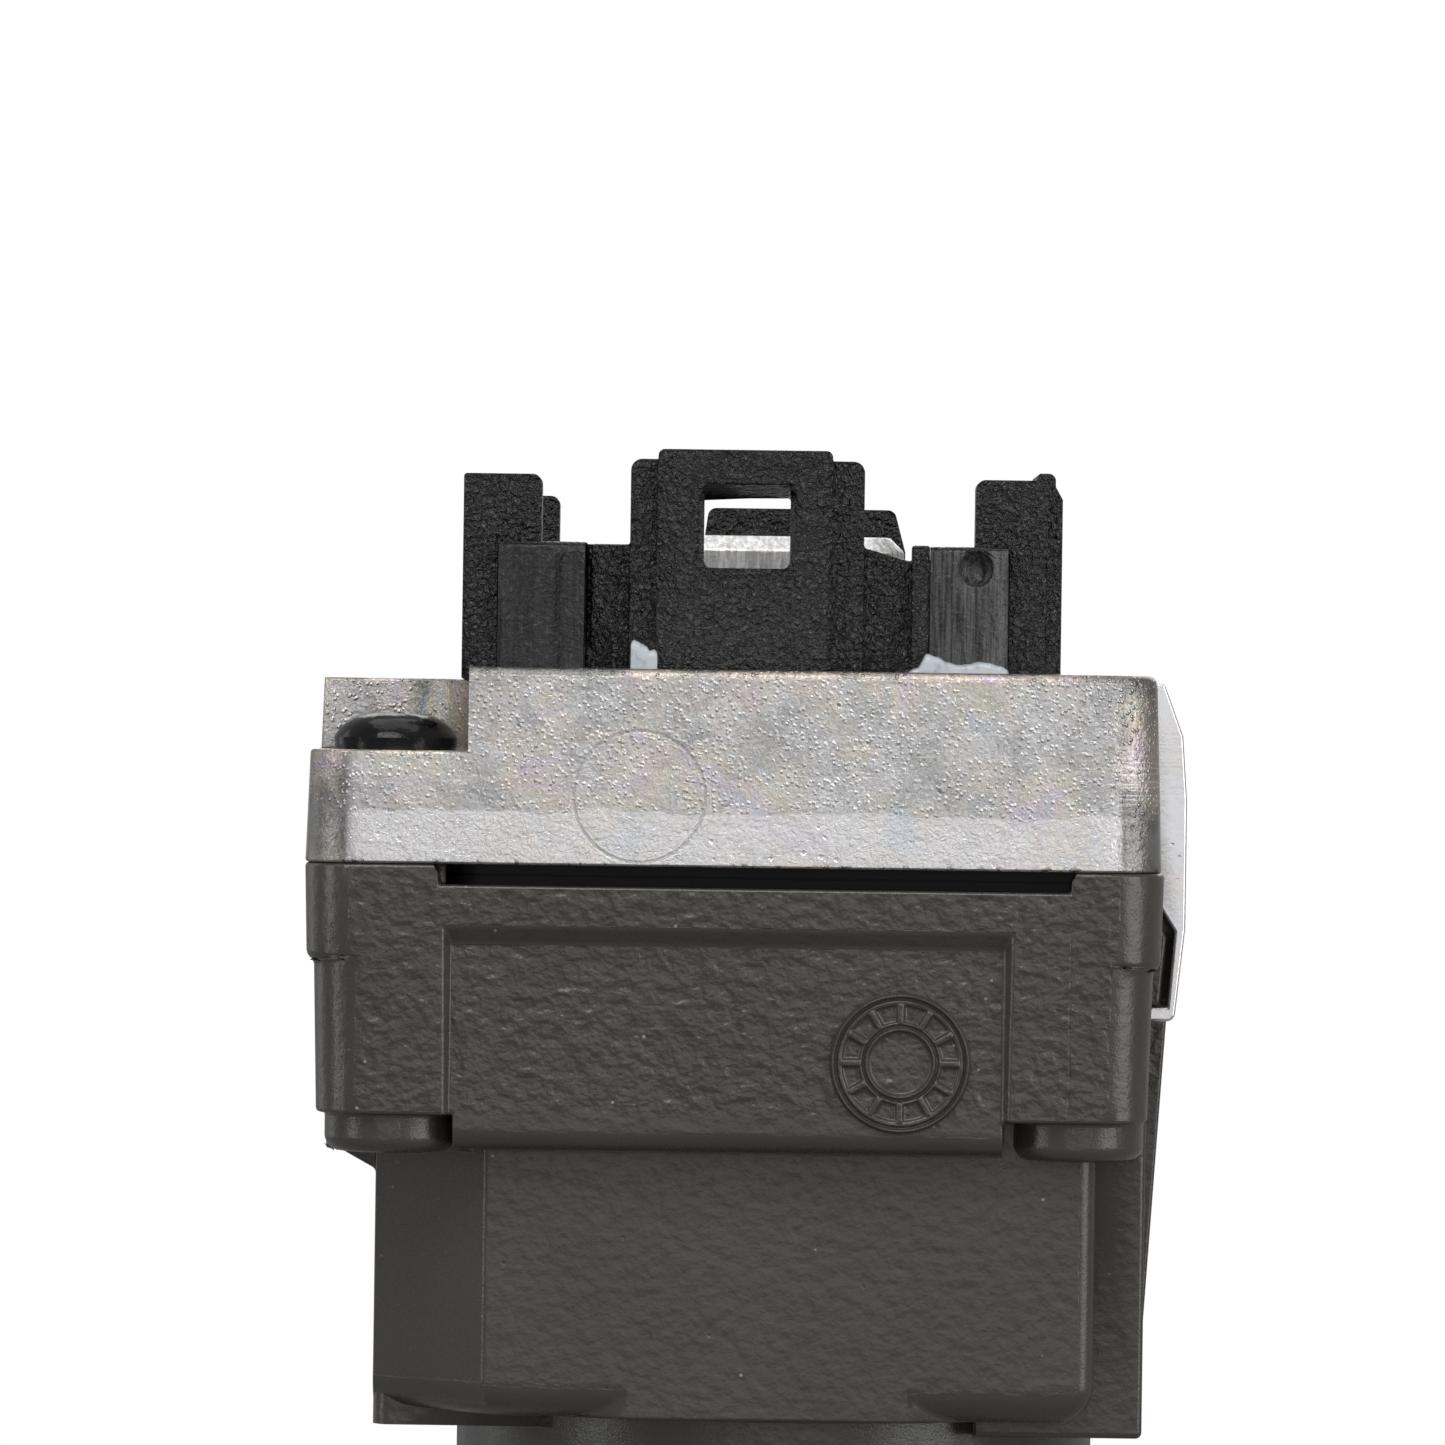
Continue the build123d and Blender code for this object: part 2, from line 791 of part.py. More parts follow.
def top_frame():
    """The cast frame on top of the body, with its corner pockets, hollow underside and side hook."""
    solid = plate(frame_left, frame_right, front, rear, 0, frame_top, corner_radius, frame_draft)
    solid = fillet(solid.faces().sort_by(Axis.Z)[-1].edges(), frame_edge_radius)
    solid = fillet(solid.faces().sort_by(Axis.Z)[0].edges(), frame_low_radius)
    solid -= prism(frame_left - 1, frame_right + 1, rim_back, rear + 1, frame_height, frame_top + 1)
    draft = math.tan(math.radians(frame_draft))
    solid -= profile_along_y(
        [
            (frame_left - 1, ledge_height),
            (frame_left + ledge_step + ledge_height * draft, ledge_height),
            (frame_left + ledge_step + (frame_top + 1) * draft, frame_top + 1),
            (frame_left - 1, frame_top + 1),
        ],
        front - 1,
        rear + 1,
    )
    for y, outer in ((boss_front, front - 1), (boss_rear, rear + 1)):
        side = math.copysign(screw_pocket_radius, -y)
        solid -= rod(screw_pocket_radius, ledge_height, frame_top + 1, boss_left, y)
        solid -= prism(frame_left - 1, boss_left, *sorted((outer, y + side)), ledge_height, frame_top + 1)
        solid -= prism(frame_left - 1, pocket_edge, *sorted((outer, y)), ledge_height, frame_top + 1)
    solid = fillet(ledge_rims(solid), ledge_edge_radius)
    solid += frame_hook()
    for y in (boss_front, boss_rear):
        solid -= rod(screw_radius + screw_hole_spare, -1, ledge_height + 1, boss_left, y)
    pocket = plate(
        hollow_left - frame_pocket_spare,
        hollow_right + frame_pocket_spare,
        hollow_front - frame_pocket_spare,
        hollow_rear + frame_pocket_spare,
        -1,
        frame_pocket_height,
        hollow_corner,
    )
    for y in (dowel_front, dowel_rear):
        pocket -= corner_pad(dowel_side, y, dowel_boss_radius, -2, frame_pocket_height + 1)
    solid -= pocket
    solid -= plate(
        -plug_half_width - plug_clearance,
        plug_half_width + plug_clearance,
        -plug_front - plug_clearance,
        plug_rear + plug_clearance,
        frame_pocket_height - 1,
        frame_top + 1,
        plug_corner + plug_clearance,
    )
    for x, y in cage_screw_places:
        solid -= rod(cage_screw_radius + screw_hole_spare, frame_pocket_height - 1, frame_top + 1, x, y)
    for y in (dowel_front, dowel_rear):
        solid -= rod(dowel_radius + dowel_clearance, -1, dowel_length / 2, dowel_side, y)
    return solid


def frame_screws():
    """The two button-head screws in the left corners of the frame."""
    edge = (screw_head_radius, screw_head_band)
    rim = (screw_head_flat, screw_head_height)
    chord = math.dist(edge, rim)
    half_way = (
        (edge[0] + rim[0]) / 2 + (rim[1] - edge[1]) / chord * screw_head_bulge,
        (edge[1] + rim[1]) / 2 + (edge[0] - rim[0]) / chord * screw_head_bulge,
    )
    outline = [
        Line((0, 0, 0), (screw_head_foot, 0, 0)),
        Line((screw_head_foot, 0, 0), (edge[0], 0, edge[1])),
        ThreePointArc((edge[0], 0, edge[1]), (half_way[0], 0, half_way[1]), (rim[0], 0, rim[1])),
        Line((rim[0], 0, rim[1]), (0, 0, rim[1])),
        Line((0, 0, rim[1]), (0, 0, 0)),
    ]
    head = revolve(make_face(Wire(outline)), Axis.Z, 360)
    corner = screw_socket_radius / math.cos(math.pi / 6)
    one = screw_with(head, screw_radius, screw_length, screw_head_height, corner, screw_socket_depth)
    return [Pos(boss_left, y, ledge_height) * one for y in (boss_front, boss_rear)]


def frame_dowels():
    """The two dowels that place the frame on the body."""
    half = dowel_length / 2
    return [rod(dowel_radius, -half, half, dowel_side, y) for y in (dowel_front, dowel_rear)]


def drum(x0, x1, crown):
    """A drum of the cage's front wall: straight sides, a curved face and a rounded upper edge."""
    side = cage_front - drum_edge
    top = cage_wall_top + 0.1
    outline = [
        Line((x0, cage_front + 1, frame_height), (x0, side, frame_height)),
        ThreePointArc(
            (x0, side, frame_height),
            ((x0 + x1) / 2, cage_front - crown, frame_height),
            (x1, side, frame_height),
        ),
        Line((x1, side, frame_height), (x1, cage_front + 1, frame_height)),
        Line((x1, cage_front + 1, frame_height), (x0, cage_front + 1, frame_height)),
    ]
    solid = extrude(make_face(Wire(outline)), amount=top - frame_height, dir=(0, 0, 1))
    crown_edge = solid.faces().sort_by(Axis.Z)[-1].edges().filter_by(GeomType.CIRCLE)
    return fillet(crown_edge, drum_edge * 0.8)


def cage_front_wall():
    """The front of the cage: plain wall, drums, rib, groove and strip."""
    strip_right = cage_right - drum_right_start - strip_gap
    strip_left = strip_right - strip_width
    solid = profile_along_y(
        [
            (cage_left + 1, frame_height),
            (cage_right - fin_width, frame_height),
            (cage_right - fin_width, cage_wall_top),
            (strip_left, cage_wall_top - slope_drop),
            (tower_right, cage_wall_top),
            (cage_left + 1, cage_wall_top),
        ],
        cage_front,
        cage_front + cage_wall,
    )
    left_drum = cage_left + drum_left_start
    solid += drum(left_drum, left_drum + drum_left_width, drum_left_crown)
    right_drum = cage_right - drum_right_start
    solid += drum(right_drum, right_drum + drum_right_width, drum_right_crown)
    rib = prism(
        rib_left, rib_left + rib_width, cage_front - drum_left_crown - rib_proud, cage_front + 1,
        frame_height, cage_wall_top - rib_drop,
    )
    solid += fillet(rib.edges().filter_by(Axis.Y).group_by(Axis.Z)[-1], rib_width / 2 - 0.05)
    solid += prism(
        strip_left, strip_right, cage_front - drum_edge - strip_proud, cage_front + 1,
        frame_height, cage_wall_top + 0.15,
    )
    return solid - prism(
        rib_left + rib_width, rib_left + rib_width + groove_width, cage_front - 2 * drum_left_crown,
        cage_front + groove_depth, frame_height + 0.5, cage_wall_top + 1,
    )


def tower():
    """The tower with its proud face plate."""
    body = prism(tower_left, tower_right, tower_front, tower_rear, frame_height, tower_top)
    body = fillet(body.edges().filter_by(Axis.Y).group_by(Axis.Z)[-1], tower_rounding)
    face_left = face_middle - face_width / 2
    face_right = face_middle + face_width / 2
    face = prism(face_left, face_right, face_front, tower_rear, frame_height, face_top)
    face = fillet(face.edges().filter_by(Axis.Y).group_by(Axis.Z)[-1], face_bevel)
    leaning = plan(
        [
            (face_left, face_front + face_lean),
            (face_left + face_flank, face_front),
            (face_right - face_flank / 2, face_front),
            (face_right, face_front + face_lean),
            (face_right, tower_rear),
            (face_left, tower_rear),
        ],
        frame_height,
        face_top,
    )
    return body + (face & leaning)


def window():
    """What the window takes out of tower and wall: a hole with bevelled sides and a slanted ceiling."""
    middle = face_middle + window_shift
    centre_z = window_sill + window_height / 2
    half = window_width / 2
    hole = Pos(middle, tower_rear + 1, centre_z) * extrude(
        Plane.XZ * RectangleRounded(window_width, window_height, window_corner),
        amount=tower_thickness + face_proud + 2,
    )
    ceiling = profile_along_x(
        [
            (face_front - 1, window_sill + window_height + window_ceiling),
            (face_front, window_sill + window_height + window_ceiling),
            (tower_rear, window_sill + window_height),
            (tower_rear, centre_z),
            (face_front - 1, centre_z),
        ],
        middle - half,
        middle + half,
    )
    mouth = plan(
        [
            (middle - half - window_bevel, face_front - 1),
            (middle - half - window_bevel, face_front),
            (middle - half, face_front + 2 * window_bevel),
            (middle + half, face_front + 2 * window_bevel),
            (middle + half + window_bevel, face_front),
            (middle + half + window_bevel, face_front - 1),
        ],
        window_sill + window_corner,
        window_sill + window_height + window_ceiling / 2,
    )
    return hole + ceiling + mouth


def cage_post(x0, x1, y0, y1, top, left_rounding, right_rounding):
    """A corner post with a rounding of its own at each upper end of its width."""
    post = prism(x0, x1, y0, y1, frame_height, top)
    for index, rounding in ((0, left_rounding), (-1, right_rounding)):
        upper = [e for e in post.edges().filter_by(Axis.Y) if e.center().Z > top - 0.01]
        post = fillet(ShapeList(upper).sort_by(Axis.X)[index], rounding)
    return post


def cage_fin():
    """The thin fin along the cage's right side, narrower at its top."""
    inner = cage_right - fin_width - 0.1
    fin = profile_along_y(
        [
            (inner, frame_height),
            (cage_right, frame_height),
            (cage_right, fin_top - fin_shoulder_height),
            (cage_right - fin_shoulder, fin_top - fin_shoulder_height / 2),
            (cage_right - fin_shoulder, fin_top),
            (inner - fin_shoulder, fin_top),
            (inner - fin_shoulder, post_top - 0.1),
            (inner, post_top - 0.2),
        ],
        cage_front + 0.4,
        cage_front + 0.4 + fin_length,
    )
    upper = [e for e in fin.edges().filter_by(Axis.Y) if e.center().Z > fin_top - 0.01]
    return fillet(ShapeList(upper).sort_by(Axis.X)[-1], fin_shoulder)


def guide_cage():
    """The moulded cage: plug in the frame's opening, floor, walls, posts, tower, drums and rear bar."""
    solid = plate(cage_left, cage_right, cage_front, cage_rear, frame_height, cage_floor_top, cage_corner)
    plug = (-plug_half_width, plug_half_width, -plug_front, plug_rear, plug_height, cage_floor_top)
    solid += plate(*plug, plug_corner)
    solid += cage_front_wall() + tower()
    for x0, x1 in (
        (cage_left, cage_left + cage_wall),
        (cage_right - cage_wall, cage_right),
    ):
        solid += prism(x0, x1, cage_front + 1, cage_rear - 1, frame_height, cage_side_top)
    solid += prism(
        cage_left + 1, cage_right - 1, cage_rear - cage_wall, cage_rear, frame_height, rear_boss_top
    )
    for x, y in cage_screw_places:
        top = cage_wall_top - 1 if y < 0 else rear_boss_top
        solid += rod(screw_boss_radius, frame_height, top, x, y)
    front_y = cage_front + post_proud
    back_y = cage_rear - post_thickness
    solid += cage_post(
        cage_left, cage_left + post_width, front_y, front_y + post_thickness, post_top,
        post_edge, post_rounding,
    )
    solid += cage_post(
        right_post, right_post + right_post_width + 0.1, front_y, front_y + post_thickness, post_top,
        post_rounding, post_edge,
    )
    solid += cage_post(
        cage_left, cage_left + rear_post_width, back_y, cage_rear, rear_post_top, post_rounding, post_rounding
    )
    rear_right = right_post + right_post_width
    solid += cage_post(
        rear_right - rear_post_right_width, rear_right, back_y, cage_rear, rear_post_top,
        post_rounding, post_rounding,
    )
    solid += cage_fin()
    bar = profile_along_y(
        [
            (bar_left, cage_floor_top),
            (bar_right, cage_floor_top),
            (bar_right, bar_top - bar_lean_height),
            (bar_right - bar_lean, bar_top),
            (bar_left + bar_lean / 2, bar_top),
            (bar_left, bar_top - bar_lean_height),
        ],
        back_y,
        cage_rear,
    )
    solid += fillet(bar.edges().filter_by(Axis.Y).group_by(Axis.Z)[-1], post_rounding)
    solid -= block_column(block_clearance, plug_height - 1, cage_floor_top + 1)
    for low, high in tab_spans():
        solid -= prism(
            -tab_half_width - block_clearance, tab_half_width + block_clearance,
            low - block_clearance, high + block_clearance, plug_height - 1, tab_top,
        )
    for x, y in cage_screw_places:
        top = frame_pocket_height + cage_screw_length + 0.5
        solid -= rod(cage_screw_radius + thread_clearance, frame_height - 1, top, x, y)
    for y in (tab_front_y, tab_rear_y):
        top = tab_screw_head_top + tab_screw_length + 0.5
        solid -= rod(tab_screw_radius + thread_clearance, plug_height, top, 0, y)
    solid -= Pos(drum_right_x + gate_shift, cage_front - drum_right_crown, gate_height) * Sphere(gate_radius)
    return solid - window()


def block_column(spare, z0, z1):
    """The upright column of the contact block between two heights, wider all round by spare."""
    return plate(
        -block_half_width - spare,
        block_half_width + spare,
        -block_front - spare,
        block_rear + spare,
        z0,
        z1,
        block_rounding + spare,
    )


def tab_spans():
    """Where the two tabs begin and end, seen from the side."""
    front_tab = (-block_front - tab_length, -block_front + tab_root)
    rear_tab = (block_rear - tab_root, block_rear + tab_length)
    return front_tab, rear_tab


def contact_block():
    """The live aluminium block: column with a plug socket in its top, and two tabs at its foot."""
    solid = block_column(0, plug_height, block_top)
    top = solid.faces().sort_by(Axis.Z)[-1]
    solid = chamfer(top.edges(), block_front_bevel)
    for low, high in tab_spans():
        solid += prism(-tab_half_width, tab_half_width, low, high, plug_height, tab_top)
    solid -= turned(
        [
            (0, block_top + 1),
            (socket_radius + socket_bevel + 1, block_top + 1),
            (socket_radius, block_top - socket_bevel),
            (socket_radius, block_top - socket_depth),
            (0, block_top - socket_depth),
        ]
    )
    solid -= rod(rod_radius, plug_height - 1, plug_height + rod_seat)
    for y in (tab_front_y, tab_rear_y):
        solid -= rod(tab_screw_radius + screw_hole_spare, plug_height - 1, tab_top + 1, 0, y)
    return solid


def contact_rod():
    """The copper rod pressed into the block, on which the spindle's contact ring slides."""
    solid = rod(rod_radius, -rod_drop, plug_height + rod_seat)
    return chamfer(solid.faces().sort_by(Axis.Z)[0].edges(), 0.6)


def insulator():
    """The insulating plate under the cage, which covers the tabs and carries the spring's upper end."""
    solid = plate(
        -plug_half_width, plug_half_width, -plug_front, plug_rear, insulator_bottom, plug_height, plug_corner
    )
    solid -= rod(insulator_bore, insulator_bottom - 1, plug_height + 1)
    for y in (tab_front_y, tab_rear_y):
        solid -= rod(tab_screw_radius + screw_hole_spare, insulator_bottom - 1, plug_height + 1, 0, y)
        solid -= rod(tab_screw_head_radius + 0.2, insulator_bottom - 1, tab_screw_head_top, 0, y)
    return solid


def tab_screws():
    """The two cheese-head screws that clamp insulator and block to the cage."""
    one = Rot(180, 0, 0) * screw(
        tab_screw_radius,
        tab_screw_length,
        tab_screw_head_radius,
        tab_screw_head_height,
        tab_screw_radius / math.cos(math.pi / 6),
        tab_screw_head_height / 2,
    )
    return [Pos(0, y, tab_screw_head_top) * one for y in (tab_front_y, tab_rear_y)]


def cage_screws():
    """The four screws that hold the cage from below the frame's deck."""
    one = Rot(180, 0, 0) * small_screw()
    return [Pos(x, y, frame_pocket_height) * one for x, y in cage_screw_places]


def small_screw():
    """An M2.5 screw with its head upward, used for cage and sleeve."""
    return screw(
        cage_screw_radius,
        cage_screw_length,
        cage_screw_head_radius,
        cage_screw_head_height,
        cage_screw_radius / 2 / math.cos(math.pi / 6) * 1.2,
        cage_screw_head_height / 2,
    )


def sealing_bead():
    """The two beads of sealing compound between the frame's rim and the foot of the cage's front."""
    face_left = face_middle - face_width / 2
    strip_right = cage_right - drum_right_start
    drum_right = strip_right + drum_right_width
    spans = (
        (tower_left + post_proud, face_left - post_proud, tower_front, bead_left_height),
        (strip_right - strip_width + bead_start, drum_right, cage_front, bead_right_height),
    )
    cage = guide_cage()
    bodies = []
    for x0, x1, wall, height in spans:
        bead = profile_along_x(
            [
                (rim_back, frame_height),
                (wall, frame_height),
                (wall, frame_top + height),
                (rim_back + bead_foot, frame_top + bead_foot / 2),
                (rim_back, frame_top - frame_edge_radius),
            ],
            x0,
            x1,
        )
        bodies.append((bead - cage).solids().sort_by(SortBy.VOLUME)[-1])
    return bodies


def guide_sleeve():
    """The flanged steel sleeve in the neck, with two slots for the guide pin and its screw holes."""
    solid = tube(sleeve_radius, sleeve_bore, -sleeve_bottom, -sleeve_top)
    solid += tube(sleeve_flange_radius, sleeve_bore, -sleeve_bottom, -neck_height)
    solid = chamfer(solid.faces().sort_by(Axis.Z)[0].edges().sort_by(SortBy.LENGTH)[-1], 0.4)
    slot_side = pin_radius + pin_clearance
    solid -= prism(
        -sleeve_radius - 1,
        sleeve_radius + 1,
        -slot_side,
        slot_side,
        -pin_drop - pin_radius - slot_spare,
        -pin_drop + pin_radius + spindle_travel + slot_spare,
    )
    head_space = cage_screw_head_height + 0.1
    for place in PolarLocations(sleeve_screw_pitch_radius, sleeve_screw_count, start_angle=45):
        solid -= place * rod(cage_screw_radius + screw_hole_spare, -sleeve_bottom - 1, -neck_height + 1)
        solid -= place * rod(cage_screw_head_radius + 0.15, -sleeve_bottom - 1, -sleeve_bottom + head_space)
    return solid


def sleeve_screws():
    """The four screws through the sleeve's flange into the neck."""
    one = Rot(180, 0, 0) * small_screw()
    height = -sleeve_bottom + cage_screw_head_height + 0.1
    places = PolarLocations(sleeve_screw_pitch_radius, sleeve_screw_count, start_angle=45)
    return [Pos(0, 0, height) * place * one for place in places]


def upper_bush():
    """The flanged bronze bush in the sleeve's top, whose flange is the spindle's lower stop."""
    solid = tube(sleeve_bore, spindle_radius + spindle_clearance, -sleeve_top - upper_bush_length, -bush_top)
    return solid + tube(bush_flange_radius, spindle_radius + spindle_clearance, -sleeve_top, -bush_top)


def lower_bush():
    """The plain bronze bush near the sleeve's lower end."""
    low = -sleeve_bottom + wiper_height
    return tube(sleeve_bore, spindle_radius + spindle_clearance, low, low + lower_bush_length)


def wiper():
    """The rubber wiper that closes the sleeve's lower end around the spindle."""
    low = -sleeve_bottom
    solid = tube(sleeve_bore, spindle_radius + spindle_clearance, low, low + wiper_height)
    groove = tube(sleeve_bore - 0.7, spindle_radius + 0.9, low - 1, low + wiper_height / 2)
    return solid - groove


def spindle():
    """The hollow steel spindle that slides in the bushes."""
    bevel = 0.5
    outer = turned(
        [
            (0, -spindle_top),
            (neck_bore_radius - bevel, -spindle_top),
            (neck_bore_radius, -spindle_top - bevel),
            (neck_bore_radius, -ring_top),
            (ring_groove_radius, -ring_top),
            (ring_groove_radius, -stop_top),
            (neck_bore_radius, -stop_top),
            (neck_bore_radius, -shoulder_top),
            (spindle_radius, -shoulder_top),
            (spindle_radius, -chuck_top),
            (0, -chuck_top),
        ]
    )
    contact_top = -spindle_top - contact_ring_drop
    bore = rod(rod_radius + rod_clearance, -spindle_top - rod_bore_depth, -spindle_top + 1)
    bore += rod(contact_ring_radius, contact_top - contact_ring_height, contact_top)
    bore += rod(tail_radius, -chuck_top - 1, -chuck_top + tail_length)
    bore += rod(electrode_relief, -chuck_top, -seat_top + electrode_relief_height)
    pin = Pos(0, 0, -pin_drop) * Rot(0, 90, 0) * Cylinder(pin_radius, 4 * spindle_radius)
    return outer - bore - pin


def contact_ring():
    """The bronze ring in the spindle's mouth that takes the current from the rod."""
    high = -spindle_top - contact_ring_drop
    solid = tube(contact_ring_radius, rod_radius + rod_clearance / 2, high - contact_ring_height, high)
    for place in PolarLocations(0, contact_slits):
        solid -= place * prism(
            rod_radius - 1, contact_ring_radius - 0.4, -0.2, 0.2, high - contact_ring_height / 2, high + 1
        )
    return solid


def stop_collar():
    """The collar on the spindle that rests on the bush's flange and takes the spring."""
    solid = tube(collar_radius, spindle_radius, -bush_top, -shoulder_top)
    solid += tube(collar_radius, neck_bore_radius, -shoulder_top, -stop_top)
    return chamfer(solid.edges().filter_by(GeomType.CIRCLE).sort_by(SortBy.LENGTH)[-2:], 0.4)


def collar_ring():
    """The wound retaining ring that locks the collar on the spindle."""
    return tube(ring_outer_radius, ring_groove_radius, -stop_top, -ring_top)


def spring_washer():
    """The hardened washer between spring and insulator."""
    outer = spring_radius + spring_wire / 2 + washer_margin
    return tube(outer, spring_radius - spring_wire, insulator_bottom - washer_thickness, insulator_bottom)


def return_spring():
    """The compression spring of rectangular wire between washer and collar."""
    high = insulator_bottom - washer_thickness - spring_end_gap - spring_wire_height / 2
    low = -stop_top + spring_end_gap + spring_wire_height / 2
    path = Pos(0, 0, low) * Helix((high - low) / spring_turns, high - low, spring_radius)
    start = path @ 0
    section = Plane(origin=start, x_dir=(start.X, start.Y, 0), z_dir=path % 0) * Rectangle(
        spring_wire, spring_wire_height
    )
    return sweep(section, path=path, is_frenet=True)


def guide_pin():
    """The hardened pin across the spindle whose ends slide in the sleeve's slots."""
    solid = Pos(0, 0, -pin_drop) * Rot(0, 90, 0) * Cylinder(pin_radius, 2 * pin_reach)
    return chamfer(solid.edges().filter_by(GeomType.CIRCLE), 0.3)


def chuck_body():
    """The collet chuck screwed into the spindle, with its flats, cone and outer thread."""
    cone_radius = collet_mouth_radius - collet_seat * math.tan(math.radians(collet_angle))
    solid = turned(
        [
            (electrode_relief, -chuck_top + tail_length),
            (tail_radius, -chuck_top + tail_length),
            (tail_radius, -chuck_top),
            (chuck_radius - 0.4, -chuck_top),
            (chuck_radius, -chuck_top - 0.4),
            (chuck_radius, -thread_top + 0.4),
            (chuck_radius - 0.4, -thread_top),
            (chuck_thread_radius, -thread_top),
            (chuck_thread_radius, -chuck_face + 0.8),
            (chuck_thread_radius - 0.8, -chuck_face),
            (collet_mouth_radius, -chuck_face),
            (cone_radius, -seat_top),
            (electrode_relief, -seat_top),
        ]
    )
    for side in (-1, 1):
        low, high = sorted((side * chuck_flats / 2, side * (chuck_radius + 1)))
        solid -= prism(-chuck_radius, chuck_radius, low, high, -chuck_top - chuck_flat_height, -chuck_top + 1)
    return solid


def collet():
    """The slit spring collet that grips the electrode."""
    slope = math.tan(math.radians(collet_angle))
    head_slope = math.tan(math.radians(collet_head_angle))
    groove_low = -collet_face + collet_head_length
    groove_high = groove_low + collet_groove
    head_radius = collet_mouth_radius + (-chuck_face - groove_high) * slope
    top = -seat_top - collet_end_gap
    top_radius = collet_mouth_radius - (top + chuck_face) * slope - collet_gap
    solid = turned(
        [
            (electrode_radius, top),
            (top_radius, top),
            (head_radius - collet_gap, groove_high),
            (head_radius - collet_groove_depth, groove_high),
            (head_radius - collet_groove_depth, groove_low),
            (head_radius, groove_low),
            (head_radius, groove_low - collet_rim),
            (head_radius - (collet_head_length - collet_rim) * head_slope, -collet_face),
            (electrode_radius, -collet_face),
        ]
    )
    length = top + collet_face
    for index in range(2 * slit_count):
        turn = Rot(0, 0, index * 180 / slit_count)
        if index % 2 == 0:
            low, high = -collet_face - 1, -collet_face + length * slit_share
        else:
            low, high = top - length * slit_share, top + 1
        solid -= turn * prism(0, collet_mouth_radius + 2, -slit_width / 2, slit_width / 2, low, high)
    return solid


def clamp_nut():
    """The clamp nut on the chuck's thread, with its inner cone and the recess for the extractor ring."""
    groove_low = -collet_face + collet_head_length
    head_slope = math.tan(math.radians(collet_head_angle))
    head_radius = collet_mouth_radius + (-chuck_face - groove_low - collet_groove) * math.tan(
        math.radians(collet_angle)
    )
    cone_top = groove_low - collet_rim
    room = head_radius + collet_gap
    exit_radius = room - (cone_top + nut_face) * head_slope
    split = -nut_top - nut_round_length
    round_part = rod(nut_round_radius, split, -nut_top)
    hexagon = extrude(
        Pos(0, 0, -nut_face) * RegularPolygon(nut_flats / 2 / math.cos(math.pi / 6), 6),
        amount=nut_length - nut_round_length,
        dir=(0, 0, 1),
    )
    corner = nut_flats / 2 / math.cos(math.pi / 6)
    barrel = turned(
        [
            (0, -nut_face),
            (corner - 2 * nut_bevel, -nut_face),
            (corner, -nut_face + nut_bevel),
            (corner, split - nut_bevel),
            (corner - 2 * nut_bevel, split),
            (0, split),
        ]
    )
    solid = round_part + (hexagon & barrel)
    hollow = turned(
        [
            (0, -nut_top + 1),
            (chuck_thread_radius + thread_clearance, -nut_top + 1),
            (chuck_thread_radius + thread_clearance, ring_recess_top + lip_height),
            (ring_outer - ring_lip, ring_recess_top + lip_height),
            (ring_outer - ring_lip, ring_recess_top),
            (ring_outer, ring_recess_top),
            (ring_outer, ring_recess_low),
            (room, ring_recess_low),
            (room, cone_top),
            (exit_radius, -nut_face),
            (exit_radius, -nut_face - 1),
            (0, -nut_face - 1),
        ]
    )
    return solid - hollow


def extractor_ring():
    """The ring in the nut that pulls the collet out when the nut is undone."""
    head_radius = collet_mouth_radius + (nut_ring_middle - chuck_face) * math.tan(math.radians(collet_angle))
    bore = head_radius - collet_groove_depth + ring_clearance
    return tube(ring_outer, bore, ring_recess_low, ring_recess_top)


colours = {
    "paint": Color(0.24, 0.23, 0.21),
    "casting": Color(0.74, 0.74, 0.74),
    "plastic": Color(0.06, 0.06, 0.06),
    "rubber": Color(0.03, 0.03, 0.03),
    "steel": Color(0.62, 0.62, 0.64),
    "black steel": Color(0.1, 0.1, 0.1),
    "bronze": Color(0.72, 0.5, 0.28),
    "compound": Color(0.92, 0.92, 0.9),
    "laminate": Color(0.78, 0.62, 0.36),
}

pieces = {
    "body_housing": (body_housing, "paint"),
    "body_gasket": (body_gasket, "rubber"),
    "top_frame": (top_frame, "casting"),
    "frame_screws": (frame_screws, "black steel"),
    "frame_dowels": (frame_dowels, "steel"),
    "guide_cage": (guide_cage, "plastic"),
    "cage_screws": (cage_screws, "steel"),
    "sealing_bead": (sealing_bead, "compound"),
    "contact_block": (contact_block, "casting"),
    "contact_rod": (contact_rod, "bronze"),
    "insulator": (insulator, "laminate"),
    "tab_screws": (tab_screws, "steel"),
    "guide_sleeve": (guide_sleeve, "steel"),
    "sleeve_screws": (sleeve_screws, "steel"),
    "upper_bush": (upper_bush, "bronze"),
    "lower_bush": (lower_bush, "bronze"),
    "wiper": (wiper, "rubber"),
    "spindle": (spindle, "steel"),
    "contact_ring": (contact_ring, "bronze"),
    "stop_collar": (stop_collar, "steel"),
    "collar_ring": (collar_ring, "steel"),
    "spring_washer": (spring_washer, "steel"),
    "return_spring": (return_spring, "steel"),
    "guide_pin": (guide_pin, "steel"),
    "chuck_body": (chuck_body, "black steel"),
    "collet": (collet, "steel"),
    "clamp_nut": (clamp_nut, "black steel"),
    "extractor_ring": (extractor_ring, "steel"),
}


def main():
    """Build every piece, move it to the row frame and write its file."""
    os.makedirs("parts", exist_ok=True)
    to_row_frame = Pos(0, -rear, flange_middle)
    for name, (make, colour) in pieces.items():
        made = make()
        solids = made if isinstance(made, list) else made.solids()
        placed = Compound(children=[to_row_frame * solid for solid in solids])
        placed.label = name
        placed.color = colours[colour]
        export_step(placed, f"parts/{name}.step")


main()
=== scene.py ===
"""Looks of the electrode holder head: finishes, fine cast detail, stage, lamps and camera.

Lengths are in metres, except where a name ends in _mm or a comment gives another unit.
"""

